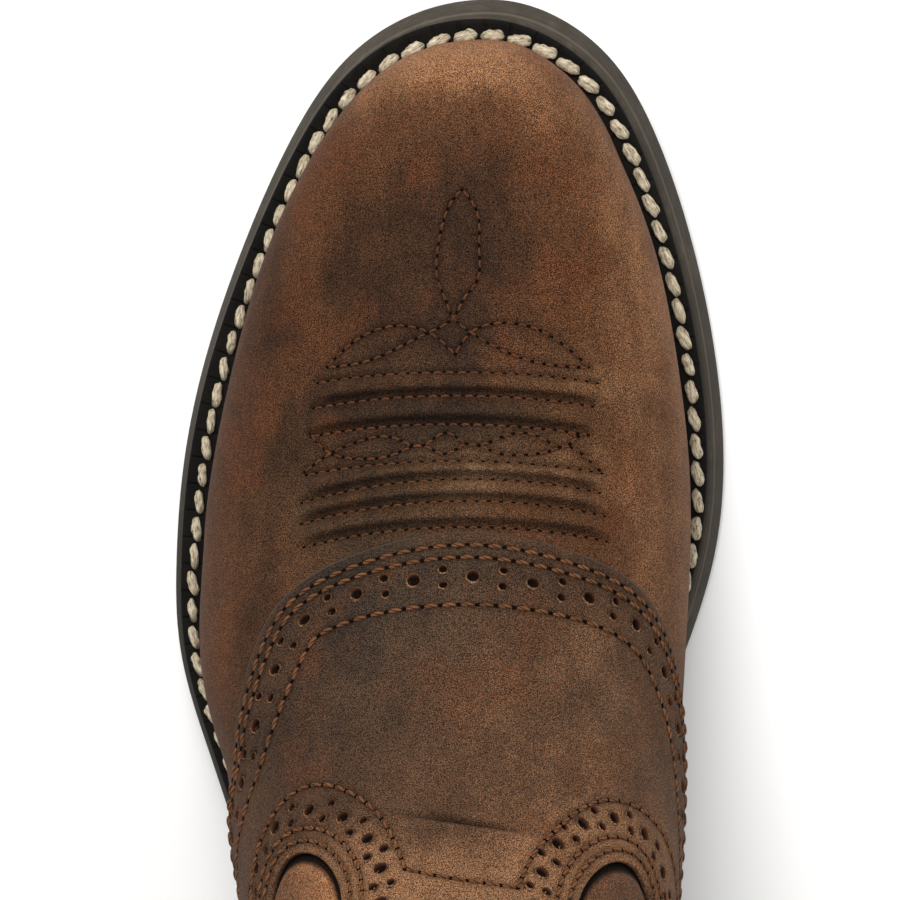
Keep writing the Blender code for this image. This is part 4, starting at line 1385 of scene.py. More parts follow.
def on_vamp_face(p, t):
    """Height of the vamp's leather."""
    return vamp_relief(p, t)[0]


def in_saddle_seam(p, t):
    """Height of the saddle's leather in its seams."""
    return saddle_height(p, t)[0] - SADDLE_SEAM_DEPTH


def on_saddle_face(p, t):
    """Height of the saddle's leather between its seams."""
    return saddle_height(p, t)[0]


print("faces of one stitch:", len(grain_of_thread()[2]) + 2)

# %% [markdown]
# ## Punched holes
# The brogue's holes alternate: one large, then a pair of small ones across the band. A punch leaves a low lip
# on thick leather and a wall of raw hide, painted darker toward the bottom as shade. Cutting the saddle's
# grid for each would spoil its lines. So the grid is drawn together round each hole and pressed down in it,
# and a small turned form, lip, wall and floor, is set into the dent.

# %% Places of the brogue holes
Hole = namedtuple("Hole", "radius depth")
LARGE_HOLE = Hole(1.22, 1.2)
SMALL_HOLE = Hole(0.84, 1.0)
BROGUE_PITCH = 11.0
WINDOW_BROGUE_PITCH = 8.8
PAIR_SPREAD = 1.7
BROGUE_MIDDLE = 0.012
REAR_CLEAR = 3.0
BORDER_SLACK = 0.4
DENT_FROM = 0.8
DENT_TO = 1.24
DENT_EXTRA = 0.3
GATHER_REACH = 2.3
GATHER_POWER = 1.7
back_line = skin(*top_path)


def inside_saddle(p, t):
    """Keeps what lies clear of the saddle's rear edge and in front of it."""
    rear = np.interp(t, top_path[1], top_path[0])
    return (p < rear) & (distance_to(skin(p, t), back_line) > REAR_CLEAR)


def inside_border(p, t):
    """Keeps what lies further in than the border's last row."""
    return inside_saddle(p, t) & (distance_to(skin(p, t), front_line) > BORDER_INSET - BORDER_SLACK)


large, small = [], []
anchors = [int(np.argmin(np.abs(hole_lines[0][1] - BROGUE_MIDDLE)))]
anchors += [int(np.argmin(line[0])) for line in hole_lines[1:]]
keeps = (inside_saddle, inside_border, inside_border)
pitches = (BROGUE_PITCH, WINDOW_BROGUE_PITCH, WINDOW_BROGUE_PITCH)
for path, keep, pitch, anchor in zip(hole_lines, keeps, pitches, anchors):
    middles, ends = sew(path, on_saddle_face, pitch, keep, anchor)
    large.append(ends)
    for side in (-PAIR_SPREAD, PAIR_SPREAD):
        pair = middles.copy()
        pair[:, 0] += side * pair[:, 2]
        small.append(pair)
large_frames, small_frames = np.concatenate(large), np.concatenate(small)


def pressed(points, frames, hole):
    """Depth of the dents: whole inside four fifths of a hole's radius, then falling straight to none."""
    share = (DENT_TO - distance_to(points, frames[:, 0]) / hole.radius) / (DENT_TO - DENT_FROM)
    return (hole.depth + DENT_EXTRA) * np.clip(share, 0.0, 1.0)


def gathered(points, frames, hole):
    """Points drawn toward the holes: a distance inside the reach becomes its share of it to a power."""
    points = points.copy()
    for centre in frames[:, 0]:
        away = points - centre
        share = np.linalg.norm(away, axis=-1) / (GATHER_REACH * hole.radius)
        near = share < 1
        points[near] = centre + away[near] * share[near, None] ** (GATHER_POWER - 1)
    return points


print("holes:", len(large_frames), "large and", len(small_frames), "small")

# %% [markdown]
# ## The saddle's grid
# Rows in front of the windows, beside them and behind them are spaced on their own, so that every slit starts
# and ends on a row. The slit's column is doubled: fresh points are its second side, and the columns near it
# are pushed away by the half width of the oval. The hide's cut edges then turn down to the skin in a bevel.
# Along the stitch rows the hide is darkened with painted shade, and round the windows the bevel too.

# %% Saddle skin
SADDLE_COLUMNS = 321
SLIT_CLEAR = 0.003
LEAST_FRONT = 0.25
LEAST_BACK = 0.2
FRONT_ROWS = 140
SLIT_ROWS = 84
BACK_ROWS = 40
ends = (SADDLE_EDGES[0].front_around, SADDLE_EDGES[-1].front_around)
columns = np.unique(np.r_[np.linspace(*ends, SADDLE_COLUMNS), [window.around for window in WINDOWS]])
from_slit = np.abs(columns[:, None] - [window.around for window in WINDOWS])
columns = columns[~((from_slit > 0) & (from_slit < SLIT_CLEAR)).any(1)]
order = np.argsort(front_path[1])
front = np.interp(columns, front_path[1][order], front_path[0][order])
back = np.interp(columns, top_path[1], top_path[0])
share = (columns - WINDOWS[0].around) / (WINDOWS[1].around - WINDOWS[0].around)
slit_from = [window.section - window.half_section for window in WINDOWS]
slit_to = [window.section + window.half_section for window in WINDOWS]
slit_start = np.maximum(slit_from[0] + share * (slit_from[1] - slit_from[0]),
                        front + LEAST_FRONT * (back - front))
slit_end = np.minimum(slit_to[0] + share * (slit_to[1] - slit_to[0]), back - LEAST_BACK * (back - front))
forward = np.linspace(0.0, 1.0, FRONT_ROWS + 1)[:-1, None]
open_share = (1 - np.cos(np.linspace(0.0, np.pi, SLIT_ROWS + 1)))[:-1, None] / 2
rear = np.linspace(0.0, 1.0, BACK_ROWS + 1)[:, None]
saddle_station = np.concatenate([front + forward * (slit_start - front),
                                 slit_start + open_share * (slit_end - slit_start),
                                 slit_end + rear * (back - slit_end)])
print("saddle rows and columns:", saddle_station.shape)

# %% Slits pushed open
rows, count = saddle_station.shape
saddle_share = np.broadcast_to(columns, saddle_station.shape).copy()
last_slit = FRONT_ROWS + SLIT_ROWS
open_rows = np.s_[FRONT_ROWS + 1:last_slit]
left_corner = np.arange(rows * count).reshape(rows, count)
right_corner = left_corner.copy()
extra_station, extra_share, slit_loops = [], [], []
for window in WINDOWS:
    slit = int(np.argmin(np.abs(columns - window.around)))
    u = np.clip((saddle_station - window.section) / window.half_section, -1.0, 1.0)
    opening = window.half_around * (1 - window.taper * u) * np.sqrt(1 - u ** 2)
    gap = saddle_share - window.around
    beside_slit = np.abs(gap) < window.reach
    pushed = opening + np.abs(gap) * (1 - opening / window.reach)
    saddle_share = np.where(beside_slit, window.around + np.where(gap > 0, 1, -1) * pushed, saddle_share)
    fresh = rows * count + sum(map(len, extra_station)) + np.arange(SLIT_ROWS - 1)
    right_corner[open_rows, slit] = fresh
    extra_station.append(saddle_station[open_rows, slit])
    extra_share.append(window.around + opening[open_rows, slit])
    slit_loops.append(np.r_[left_corner[FRONT_ROWS:last_slit + 1, slit], fresh[::-1]])
saddle_p = np.concatenate([saddle_station.ravel()] + extra_station)
saddle_t = np.concatenate([saddle_share.ravel()] + extra_share)
print("saddle points:", len(saddle_p), "slits open by", [round(float(np.ptp(e)), 3) for e in extra_share])

# %% Saddle face
SADDLE_SEAM_WIDTH = 0.85
SADDLE_SEAM_SHADE = 0.85
height, deep_shade = saddle_height(saddle_p, saddle_t)
lines = np.concatenate([skin(*path) for path in saddle_rows + window_rows + arch_rows])
seam = np.exp(-(distance_to(skin(saddle_p, saddle_t), lines) / SADDLE_SEAM_WIDTH) ** 2)
saddle_normal = facing(saddle_p, saddle_t)
level = gathered(skin(saddle_p, saddle_t, height), large_frames, LARGE_HOLE)
level = gathered(level, small_frames, SMALL_HOLE)
dents = np.maximum(pressed(level, large_frames, LARGE_HOLE), pressed(level, small_frames, SMALL_HOLE))
face = level - (SADDLE_SEAM_DEPTH * seam + dents)[:, None] * saddle_normal
quads = np.stack([right_corner[:-1, :-1], left_corner[:-1, 1:], left_corner[1:, 1:], right_corner[1:, :-1]],
                 -1).reshape(-1, 4)
print("deepest dent, mm:", dents.max().round(2))

# %% Cut edges and the saddle piece
RIM_DROP = 0.2
Rim = namedtuple("Rim", "kind reach foot_reach gloom")
CUT_RIM = Rim(1, 0.42, 0.52, 0.0)
WINDOW_RIM = Rim(0, 0.20, -0.25, 1.5)


def faces_out(points, normals, faces):
    """Whether most of the faces are turned to their outward directions."""
    a, b, d = (points[faces[:, k]] for k in (0, 1, 3))
    return (np.cross(b - a, d - a) * normals[faces[:, 0]]).sum() > 0


borders = [left_corner[0], left_corner[-1]] + [np.r_[loop, loop[:1]] for loop in slit_loops]
points, normals, faces, kinds = [face], [saddle_normal], [quads], [np.zeros(len(quads), int)]
start = len(face)
# Painted shade along the stitch rows and in the ankle folds.
sunk_shade = [np.maximum(SADDLE_SEAM_SHADE * seam, deep_shade)]
for border, away, rim in zip(borders, (1, -1, 1, 1), (CUT_RIM, CUT_RIM, WINDOW_RIM, WINDOW_RIM)):
    rim_point, rim_normal = face[border], saddle_normal[border]
    tangent = unit(np.gradient(rim_point, axis=0))
    if border[0] == border[-1]:
        tangent[0] = tangent[-1] = unit(rim_point[1] - rim_point[-2])
    outward_way = away * np.cross(tangent, rim_normal)
    shoulder = rim_point - RIM_DROP * rim_normal + rim.reach * outward_way
    foot = skin(saddle_p[border], saddle_t[border]) + rim.foot_reach * outward_way - RIM_DROP * rim_normal
    # Painted shade on the windows' bevels, darkest at their foot; the front and rear cuts get none.
    sunk_shade.append(np.tile((0.0, 0.25 * rim.gloom, rim.gloom), len(border)))
    points.append(np.stack([rim_point, shoulder, foot], 1).reshape(-1, 3))
    normals.append(np.repeat(outward_way + 0.6 * rim_normal, 3, 0))
    strip = grid_faces(len(border), 3)
    same_way = faces_out(points[-1], normals[-1], strip) == faces_out(face, saddle_normal, quads)
    faces.append((strip if same_way else strip[:, ::-1]) + start)
    kinds.append(np.full(len(strip), rim.kind))
    start += 3 * len(border)
points = np.concatenate(points)
add_piece("saddle_cover", points, [np.concatenate(faces)], [SADDLE_HIDE, RAW_EDGE],
          ["saddle"], np.concatenate(normals), kinds=np.concatenate(kinds),
          marks={"rubbed_and_lit": patch_sum_at(points, SADDLE_PATCHES), "sunk_shade": np.concatenate(sunk_shade),
                 "sheen_tint": patch_sum_at(points, SADDLE_SHEEN_PATCHES)})

# %% [markdown]
# ## Underlays in the windows
# Behind each window lies a softer, redder hide that swells through the opening. It is a polar grid: rings
# from the middle out to a little under the saddle. It is crowned in the middle and falls by an eased shoulder
# into a gap beside the cut, which is wider toward the boot's side and toward the toe. The gap is darkened
# with painted shadow, and a painted highlight pales the outer underlay on its side toward the top line.

# %% Underlays
UNDERLAY_RINGS = 37
UNDERLAY_SIDES = 96
UNDER_SADDLE = 1.08
GAP_END = 0.93
LEAST_GAP = 0.07
GAP_SPREAD = 0.17
PUFF = 1.45
CROWN = 0.45
GAP_SHADE = 1.78
Underlay = namedtuple("Underlay", "name finish polish")
UNDERLAYS = (Underlay("outer_underlay", OUTER_INLAY, 1.15), Underlay("inner_underlay", INNER_INLAY, 0.0))
radius = np.linspace(0.0, 1.0, UNDERLAY_RINGS)[:, None]
angle = np.linspace(0.0, 2 * np.pi, UNDERLAY_SIDES + 1)[None, :-1]
for window, underlay in zip(WINDOWS, UNDERLAYS):
    width = window.half_around * UNDER_SADDLE * (1 - window.taper * np.cos(angle))
    at = (window.section + window.half_section * UNDER_SADDLE * radius * np.cos(angle),
          window.around + width * radius * np.sin(angle))
    far_side = 0.5 + 0.5 * np.sign(window.around) * np.sin(angle)
    gap = LEAST_GAP + GAP_SPREAD * np.maximum(far_side, 0.35 - 0.35 * np.cos(angle))
    in_gap = ease((radius - GAP_END + gap) / gap)
    puff = 0.08 + PUFF * (1 - in_gap) + CROWN * (1 - radius ** 2)
    ripple = 0.06 * np.sin(14 * radius + 3 * angle) * (1 - radius ** 2)
    # Painted highlight: the outer underlay is paled on its side toward the top line; painted shadow darkens
    # the gap.
    rubbed_and_lit = 0.5 * radius ** 4 - 0.05 + underlay.polish * (1 - far_side) ** 1.6
    add_piece(underlay.name, skin(*at, puff + ripple), [grid_faces(UNDERLAY_RINGS, UNDERLAY_SIDES, True)],
              [underlay.finish], outward=facing(*at), weld=True,
              marks={"rubbed_and_lit": rubbed_and_lit, "sunk_shade": GAP_SHADE * ease((in_gap - 0.2) / 0.45)})

# %% [markdown]
# ## The rows of stitches
# The vamp's thread is thin and dull, the saddle's thicker and brighter. The saddle's rows stop short of its
# rear edge, and the rows over the ankle start at the border.

# %% Stitches of the vamp and the saddle
VAMP_PITCH = 2.3
SADDLE_PITCH = 3.36
WINDOW_PITCH = 2.9
vamp_sewn = [sew(path, on_vamp_face, VAMP_PITCH) for path in vamp_paths]
add_rows("vamp", vamp_sewn, (0.92, 0.25, 0.24), DULL_THREAD, (0.46, 0.33, 0.06))
saddle_sewn = [sew(path, in_saddle_seam, SADDLE_PITCH, inside_saddle) for path in saddle_rows]
saddle_sewn += [sew(path, in_saddle_seam, WINDOW_PITCH) for path in window_rows]
saddle_sewn += [sew(path, in_saddle_seam, WINDOW_PITCH, inside_border) for path in arch_rows]
add_rows("saddle", saddle_sewn, (1.47, 0.41, 0.39), BROWN_THREAD, (0.62, 0.46, 0.05))

# %% [markdown]
# ## The forms of the holes
# A hole is turned from four steps: a skirt hidden in the leather, the lip, the rim and the edge of the floor.
# The lip is given a painted highlight, paler toward the heel and the outer side.

# %% Brogue holes
HOLE_STEPS = np.array([(1.34, -0.30, 0.0), (1.12, 0.06, 0.0), (1.0, 0.0, 0.0), (0.78, 0.0, 1.0)])
HOLE_LEAN = 0.08
HOLE_UNEVEN = 0.08
LIT_WAY = unit(np.array([-0.5, 0.86, 0.0]))
HOLE_SIDES = 12

PUNCHED_WALL, tree, shader, place = new_finish("punched_wall", 0.9, 0.05)
from_middle = axes_of(tree, pattern_of(tree))[0]
# Painted shade: the wall darkens to near black toward the floor, and a near black noise dims the whole hole.
wall_depth_shade = shades(tree, from_middle, ((0.86, (0.0040, 0.0025, 0.0018)), (1.0, (0.105, 0.037, 0.019))))
hole_shade_noise = shades(tree, noise(tree, place, 2500.0), ((0.3, (0.002, 0.001, 0.001)),
                                                  (0.75, (0.012, 0.006, 0.004))))
feed(shader.inputs["Base Color"], blend_colour(tree, 0.5, wall_depth_shade, hole_shade_noise))
relief(tree, shader, noise(tree, place, 2200.0), 0.1)


def add_holes(name, frames, hole):
    """Punched holes of one size as one mesh: the steps turned round, each hole a little uneven."""
    angle = np.linspace(0.0, 2 * np.pi, HOLE_SIDES, endpoint=False)
    share, rise = HOLE_STEPS[:, :1], HOLE_STEPS[:, 1:2] - hole.depth * HOLE_STEPS[:, 2:]
    reach = share * hole.radius
    points = np.stack([reach * np.cos(angle), reach * np.sin(angle), rise + 0 * angle], -1).reshape(-1, 3)
    depth = np.repeat(np.minimum(share[:, 0], 1.0), HOLE_SIDES)
    wall = grid_faces(len(HOLE_STEPS), HOLE_SIDES, True)
    floor = np.arange(len(points) - HOLE_SIDES, len(points))[None]
    each = np.arange(len(frames))[:, None]
    uneven = frames.copy()
    uneven[:, 1] *= 1 + HOLE_UNEVEN * np.sin(2.9 * each)
    uneven[:, 2] *= 1 + HOLE_UNEVEN * np.sin(4.7 * each)
    placed = set_in(uneven, points)
    lit_way = unit(LIT_WAY - (frames[:, 3] @ LIT_WAY)[:, None] * frames[:, 3])
    lit = np.clip((unit(placed - frames[:, None, 0]) * lit_way[:, None]).sum(-1), 0.0, 1.0)
    placed[:, -HOLE_SIDES:] += HOLE_LEAN * hole.radius * lit_way[:, None]
    shift = (each * len(points))[..., None]
    faces = [(wall[None] + shift).reshape(-1, 4), (floor[None] + shift).reshape(-1, HOLE_SIDES)]
    is_wall = np.arange(len(wall)) >= 2 * HOLE_SIDES
    kinds = np.r_[np.tile(is_wall, len(frames)).astype(int), np.ones(len(frames), int)]
    pattern = np.tile(np.c_[depth, depth], (len(frames), 1))
    # Painted highlight: the lip's patina is paled on the side toward LIT_WAY.
    marks = {"rubbed_and_lit": 0.05 + 1.1 * lit ** 2, "sunk_shade": np.zeros(len(pattern))}
    add_piece(name, placed, faces, [SADDLE_HIDE, PUNCHED_WALL], kinds=kinds, marks=marks,
              pattern=pattern, outward=np.repeat(frames[:, 3], len(points), 0))


add_holes("large_holes", large_frames, LARGE_HOLE)
add_holes("small_holes", small_frames, SMALL_HOLE)

# %% [markdown]
# ## Seams of the shaft
# Front and back of the shaft meet at the sides in a corded seam, and a stay covers the back seam. The cord is
# a round profile along the seam; the stay is a low crowned strip. Both carry their own rows of stitches.

# %% Side cords
SIDE_SEAM = (Spot(11.05, 0.834), Spot(11.2, 0.73), Spot(11.5, 0.587), Spot(11.8, 0.497), Spot(12.0, 0.46),
             Spot(13.0, 0.44), Spot(14.0, 0.455), Spot(15.0, 0.47), Spot(16.0, 0.478), Spot(16.93, 0.483))
CORD_RADIUS = 1.25
CORD_LIFT = 0.55
CORD_SIDES = 10
SEAM_OFFSET = 3.6
SHAFT_PITCH = 2.6
SEWN_SHARES = (0.4, 0.5, 0.6, 0.7, 0.8)
SEWN_FROM = (12.5, 12.4, 11.9, 11.6, 11.35)


def on_skin(p, t):
    """No height over the skin."""
    return np.zeros(p.shape)


def behind_saddle(p, t):
    """Keeps what lies behind the saddle's rear edge."""
    return p > np.interp(np.abs(t), SEWN_SHARES, SEWN_FROM)


angle = np.linspace(0.0, 2 * np.pi, CORD_SIDES, endpoint=False)
round_profile = np.c_[CORD_RADIUS * np.cos(angle), CORD_RADIUS * np.sin(angle) + CORD_LIFT]
seam_sewn = []
low_end, high_end = SIDE_SEAM[0].station, SIDE_SEAM[-1].station
seam_p = np.r_[np.linspace(low_end, CORNER, 60)[:-1], np.linspace(CORNER, high_end, 100)]
seam_t = spline(column(SIDE_SEAM, "station"), column(SIDE_SEAM, "around"), seam_p)
cord_points = len(seam_p) * CORD_SIDES
for sign, name in ((-1, "outer_side_cord"), (1, "inner_side_cord")):
    path = skin(seam_p, sign * seam_t)
    up = facing(seam_p, sign * seam_t)
    across = np.cross(up, unit(np.gradient(path, axis=0)))
    cord = tube(path, across, up, round_profile)
    add_piece(name, cord, [grid_faces(len(path), CORD_SIDES, True)], [SADDLE_HIDE],
              outward=cord - path[:, None],
              marks={"rubbed_and_lit": np.full(cord_points, 0.15), "sunk_shade": np.zeros(cord_points)})
    for offset in (-SEAM_OFFSET, SEAM_OFFSET):
        row = beside(seam_p, sign * seam_t, offset)
        seam_sewn.append(sew(row, on_skin, SHAFT_PITCH, behind_saddle))

# %% Back stay
STAY_FROM = 12.02
STAY_TO = 16.96
STAY_SEWN = (12.15, 16.8, 160)
STAY_HALF = 9.0
STAY_FLARE = 0.25
FLARE_FROM = 15.5
FLARE_LENGTH = 1.4
STAY_ROWS = 120
STAY_COLUMNS = 25
STAY_CROWN = 1.15
STAY_SEAM = 0.76
STAY_SEAM_DEPTH = 0.12


def stay_half_width(station):
    """Half width of the stay: the same up the leg, then a quarter wider at the collar."""
    return STAY_HALF * (1.0 + STAY_FLARE * ease((station - FLARE_FROM) / FLARE_LENGTH))


def on_stay_seam(p, t):
    """Height of the stay in its seams."""
    return np.full(p.shape, STAY_CROWN - STAY_SEAM_DEPTH)


stay_p = np.linspace(STAY_FROM, STAY_TO, STAY_ROWS)
p, c = np.meshgrid(stay_p, np.linspace(-1.0, 1.0, STAY_COLUMNS), indexing="ij")
side = np.where(c < 0, -1.0, 1.0)
t = side * (1 - np.abs(c * stay_half_width(p)) / half_girth(p, side))
from_seam = np.abs(c) - STAY_SEAM
sunk_edge = np.exp(-(from_seam / 0.08) ** 2) + (np.abs(c) == 1)
crown = STAY_CROWN * np.clip(1 - np.abs(c) ** 10, 0.0, 1.0) - STAY_SEAM_DEPTH * sunk_edge
stay_normal = facing(p, t)
middle = STAY_COLUMNS // 2
stay_normal[:, middle] = unit(stay_normal[:, middle - 1] + stay_normal[:, middle + 1])
stay = read_grid(SKIN, p, t) + crown[..., None] * stay_normal
# Painted shade along the stay's two seams.
add_piece("back_stay", stay, [grid_faces(STAY_ROWS, STAY_COLUMNS)], [SADDLE_HIDE],
          outward=stay_normal, marks={"rubbed_and_lit": -0.1 + 0 * c, "sunk_shade": 0.3 * np.exp(-(from_seam / 0.1) ** 2)})
run_p = np.linspace(*STAY_SEWN)
for sign in (-1.0, 1.0):
    run_t = sign * (1 - STAY_SEAM * stay_half_width(run_p) / half_girth(run_p, sign))
    seam_sewn.append(sew((run_p, run_t), on_stay_seam, SHAFT_PITCH))
add_rows("shaft", seam_sewn, (1.0, 0.36, 0.33), BROWN_THREAD, (0.45, 0.36, 0.04))

# %% [markdown]
# ## Welt and its rope stitches
# The black welt is a flat strip all round, wheeled with a notch for each stitch. Its stitches are a thick
# pale rope of three plies: an oval tube whose radius swells along the plies as they wind, ruffled a little
# and laid aslant so that the leading end of each leans outward.

# %% Welt strip
ROPE_PITCH = 5.4
OUTER_REACH = 0.8
WELT_EDGE = 4.2
NOTCHED_LOOP = 5
WELT_PROFILE = np.array([(13.0, 0.0), (3.0, 0.0), (2.95, 0.5), (2.95, 2.7), (3.1, 3.15), (3.4, 3.4),
                         (4.0, 3.42), (4.5, 3.2), (5.6, 2.95), (6.7, 3.2), (7.2, 3.4), (13.0, 3.4)])
outer_share = ease(0.5 - outline(0.0)[:, :1] / 40.0)
loops = []
for inset, rise in WELT_PROFILE:
    loop = outline(inset - OUTER_REACH * outer_share * (inset < WELT_EDGE), OUTSOLE_THICKNESS)
    loops.append(np.c_[loop, welt_foot(loop[:, 1]) + rise])
welt_grid = np.stack(loops + loops[:1])
welt_grid = np.concatenate([welt_grid, welt_grid[:, :1]], 1)
run = run_along(welt_grid[NOTCHED_LOOP])
notches = run / run[-1] * round(run[-1] / ROPE_PITCH)
pattern = np.stack(np.broadcast_arrays(notches[None], np.linspace(0.0, 1.0, len(welt_grid))[:, None]), -1)
add_piece("welt_strip", welt_grid, [grid_faces(*welt_grid.shape[:2])], [WELT_RUBBER], ["welt"],
          pattern=pattern, weld=True)

# %% Path of the rope
ROPE_INSET = 5.25
ROPE_TOE_INSET = 0.7
ROPE_RISE = 2.95
ROPE_BACK = 214.0
EDGE_STEPS = 400
Waist = namedtuple("Waist", "start length amount")
OUTER_WAIST = Waist(92.0, 42.0, 0.9)
INNER_WAIST = Waist(80.0, 35.0, 1.1)
edge_line = outline(0.0, steps=EDGE_STEPS)
toe_share = np.exp(-(edge_line[:, 1:] / 16.0) ** 2)
outer_waist, inner_waist = (waist.amount * ease((edge_line[:, 1:] - waist.start) / waist.length)
                            for waist in (OUTER_WAIST, INNER_WAIST))
nearer = np.where(edge_line[:, :1] < 0, outer_waist, inner_waist)
loop = outline(ROPE_INSET + ROPE_TOE_INSET * toe_share - nearer, OUTSOLE_THICKNESS, steps=EDGE_STEPS)
loop = np.c_[loop, 0.2 * nearer]
outer_side, inner_side = loop[:EDGE_STEPS + 1], np.r_[loop[:1], loop[:EDGE_STEPS:-1]]
path = np.r_[outer_side[outer_side[:, 1] < ROPE_BACK][::-1], inner_side[inner_side[:, 1] < ROPE_BACK][1:]]
path[:, 2] += welt_foot(path[:, 1]) + ROPE_RISE
print("rope path, mm:", run_along(path)[-1].round(0))

# %% Rope stitches
ROPE_SIZE = (2.55, 1.08, 1.0)
ROPE_RUFFLE = 0.24
ROPE_RINGS = 17
ROPE_SIDES = 12
SLANT = 0.17
SOLE_MIDDLE = (0.0, 120.0)
index, _ = pitched(path, ROPE_PITCH)
at, ahead, behind = (np.stack([read_path(path[:, k], index + step) for k in range(3)], -1)
                     for step in (0.0, 0.5, -0.5))
along = unit(ahead - behind)
up = unit(np.array([0.0, 0.0, 1.0]) - along[:, 2:] * along)
across = np.cross(up, along)
inward = np.sign((across[:, :2] * (SOLE_MIDDLE - at[:, :2])).sum())
each = np.arange(len(at))[:, None]
leaned = unit(along - inward * (SLANT + 0.06 * np.sin(2.4 * each) + 0.04 * np.sin(7.7 * each)) * across)
fuller_at_toe = 0.14 * np.exp(-(at[:, 1:2] / 35.0) ** 2)
slimmer_outside = 0.17 * (at[:, :1] < 0) * ease((at[:, 1:2] - 25.0) / 50.0)
broad = 1 + fuller_at_toe - slimmer_outside + 0.07 * np.sin(3.7 * each)
rope_frames = np.stack([at, leaned * (1 + 0.05 * np.sin(5.1 * each)), broad * np.cross(up, leaned),
                        up * (1 + 0.06 * np.sin(4.3 * each))], 1)
u = np.linspace(-1.0, 1.0, ROPE_RINGS)[:, None]
round_share = np.linspace(0.0, 1.0, ROPE_SIDES, endpoint=False)[None]
lobes = np.abs(np.sin(np.pi * ((u + 1) / 2 * ROPE_TURNS + ROPE_PLIES * round_share)))
fat = np.clip(1 - np.abs(u) ** 2.7, 0.08, 1.0) ** 0.5 * (0.92 + 0.14 * lobes)
rope = bowed_tube(u, 2 * np.pi * round_share - np.pi / 2, fat, 0.55 - 0.9 * u ** 6, round_share)
add_thread("welt_rope", [rope_frames], ROPE_SIZE, CREAM_ROPE, rope, ROPE_RUFFLE)

# %% [markdown]
# ## Outsole, heel and insole
# The outsole's edge flares outward below a thin bead; its profile is carried round the outline, and its face
# underneath is ruled straight across from the outer to the inner side. Heel and insole are stacks of
# outlines.


# %% Stacked outlines
def across_faces(count, shift=0):
    """Faces that join a loop's two sides, from each outer point to the inner point beside it."""
    half = count // 2
    i = np.arange(1, half - 1)
    strips = np.c_[i, i + 1, count - i - 1, count - i] + shift
    tips = np.array([[0, 1, count - 1], [half - 1, half, half + 1]]) + shift
    return strips, tips


def ruled_faces(count, shift=0):
    """Faces across a loop that starts and ends at a straight front edge."""
    half = count // 2
    i = np.arange(half - 1)
    tip = np.array([[half - 1, half, half + 1]])
    return np.c_[i, i + 1, count - 2 - i, count - 1 - i] + shift, tip + shift


def add_stack(name, loops, finish, node, front=False, marks=None):
    """Closed solid skin from loops laid on each other."""
    count = len(loops[0])
    caps = ruled_faces if front else across_faces
    under, under_tips = caps(count)
    top, top_tips = caps(count, (len(loops) - 1) * count)
    quads = np.concatenate([grid_faces(len(loops), count, True), under[:, ::-1], top])
    tips = np.concatenate([under_tips[:, ::-1], top_tips])
    add_piece(name, np.concatenate(loops), [quads, tips], [finish], [node], marks=marks)


print("quads across a loop of 8:", len(across_faces(8)[0]))

# %% Outsole, heel and insole
SOLE_PROFILE = ((2.6, 0.0), (1.2, 0.02), (0.45, 0.3), (0.08, 0.85), (0.0, 1.5), (0.35, 2.9), (0.95, 5.0),
                (1.45, 6.5), (1.62, 6.85), (1.55, 7.1), (1.6, 7.35), (1.95, 7.7), (2.25, 8.5), (2.45, 8.85),
                (2.9, 9.0))
BEAD_RISE = 7.1
BEAD_HALF = 0.3
WAIST_SHADE_AMOUNT = 0.75
WAIST_SHADE_FROM_TOE = 74.0
WAIST_SHADE_LENGTH = 46.0
WAIST_SHADE_FROM_MIDDLE = 8.0
WAIST_SHADE_WIDTH = 20.0
loops = []
for inset, rise in SOLE_PROFILE:
    loop = outline(inset, rise)
    loops.append(np.c_[loop, tread(loop[:, 1]) + rise])
bead = np.repeat([float(abs(rise - BEAD_RISE) < BEAD_HALF) for _, rise in SOLE_PROFILE], len(loops[0]))
edge_points = np.concatenate(loops)
# Painted shade: the outer side of the waist is darkened, more toward the heel.
shade_toward_heel = ease((edge_points[:, 1] - WAIST_SHADE_FROM_TOE) / WAIST_SHADE_LENGTH)
waist_shade = WAIST_SHADE_AMOUNT * shade_toward_heel * ease((-edge_points[:, 0] - WAIST_SHADE_FROM_MIDDLE) / WAIST_SHADE_WIDTH)
add_stack("outsole_rubber", loops, SOLE_RUBBER, "outsole",
          marks={"bead": bead, "waist_shade": waist_shade})

HEEL_STEPS = 80
HEEL_PROFILE = ((4.4, 4.0, 0.0), (3.7, 3.3, 0.25), (3.4, 3.0, 1.0), (3.05, 2.6, 4.6), (3.35, 2.8, 4.9),
                (3.0, 2.5, 5.2), (2.1, 1.5, 14.0), (0.95, 0.2, 26.6), (0.8, 0.0, 27.7))
loops = []
for inset, lean, rise in HEEL_PROFILE:
    front_edge = BREAST + CLEARANCE + lean
    loop = outline(inset, 0.0, float(turn(front_edge / SOLE_LENGTH)), HEEL_STEPS)
    loop[[0, -1], 1] = front_edge
    loops.append(np.c_[loop, np.full(len(loop), rise)])
add_stack("heel_block", loops, HEEL_RUBBER, "heel", front=True)

INSOLE_PROFILE = ((13.4, 0.0), (13.4, 2.8), (13.6, 3.2), (14.2, 3.4), (18.0, 3.42))
loops = []
for inset, rise in INSOLE_PROFILE:
    loop = outline(inset, OUTSOLE_THICKNESS)
    loops.append(np.c_[loop, welt_foot(loop[:, 1]) + rise])
add_stack("insole_sock", loops, LINING_HIDE, "insole")

# %% [markdown]
# ## Camera, light and floor
# The view is almost straight down, leaned a little toward the toe and the inner side, from far enough that
# the sole is hardly foreshortened. A wide soft light over the toe and the outer side, another from above and
# a pale room light give the leather its even shine; the floor is pale and plain.

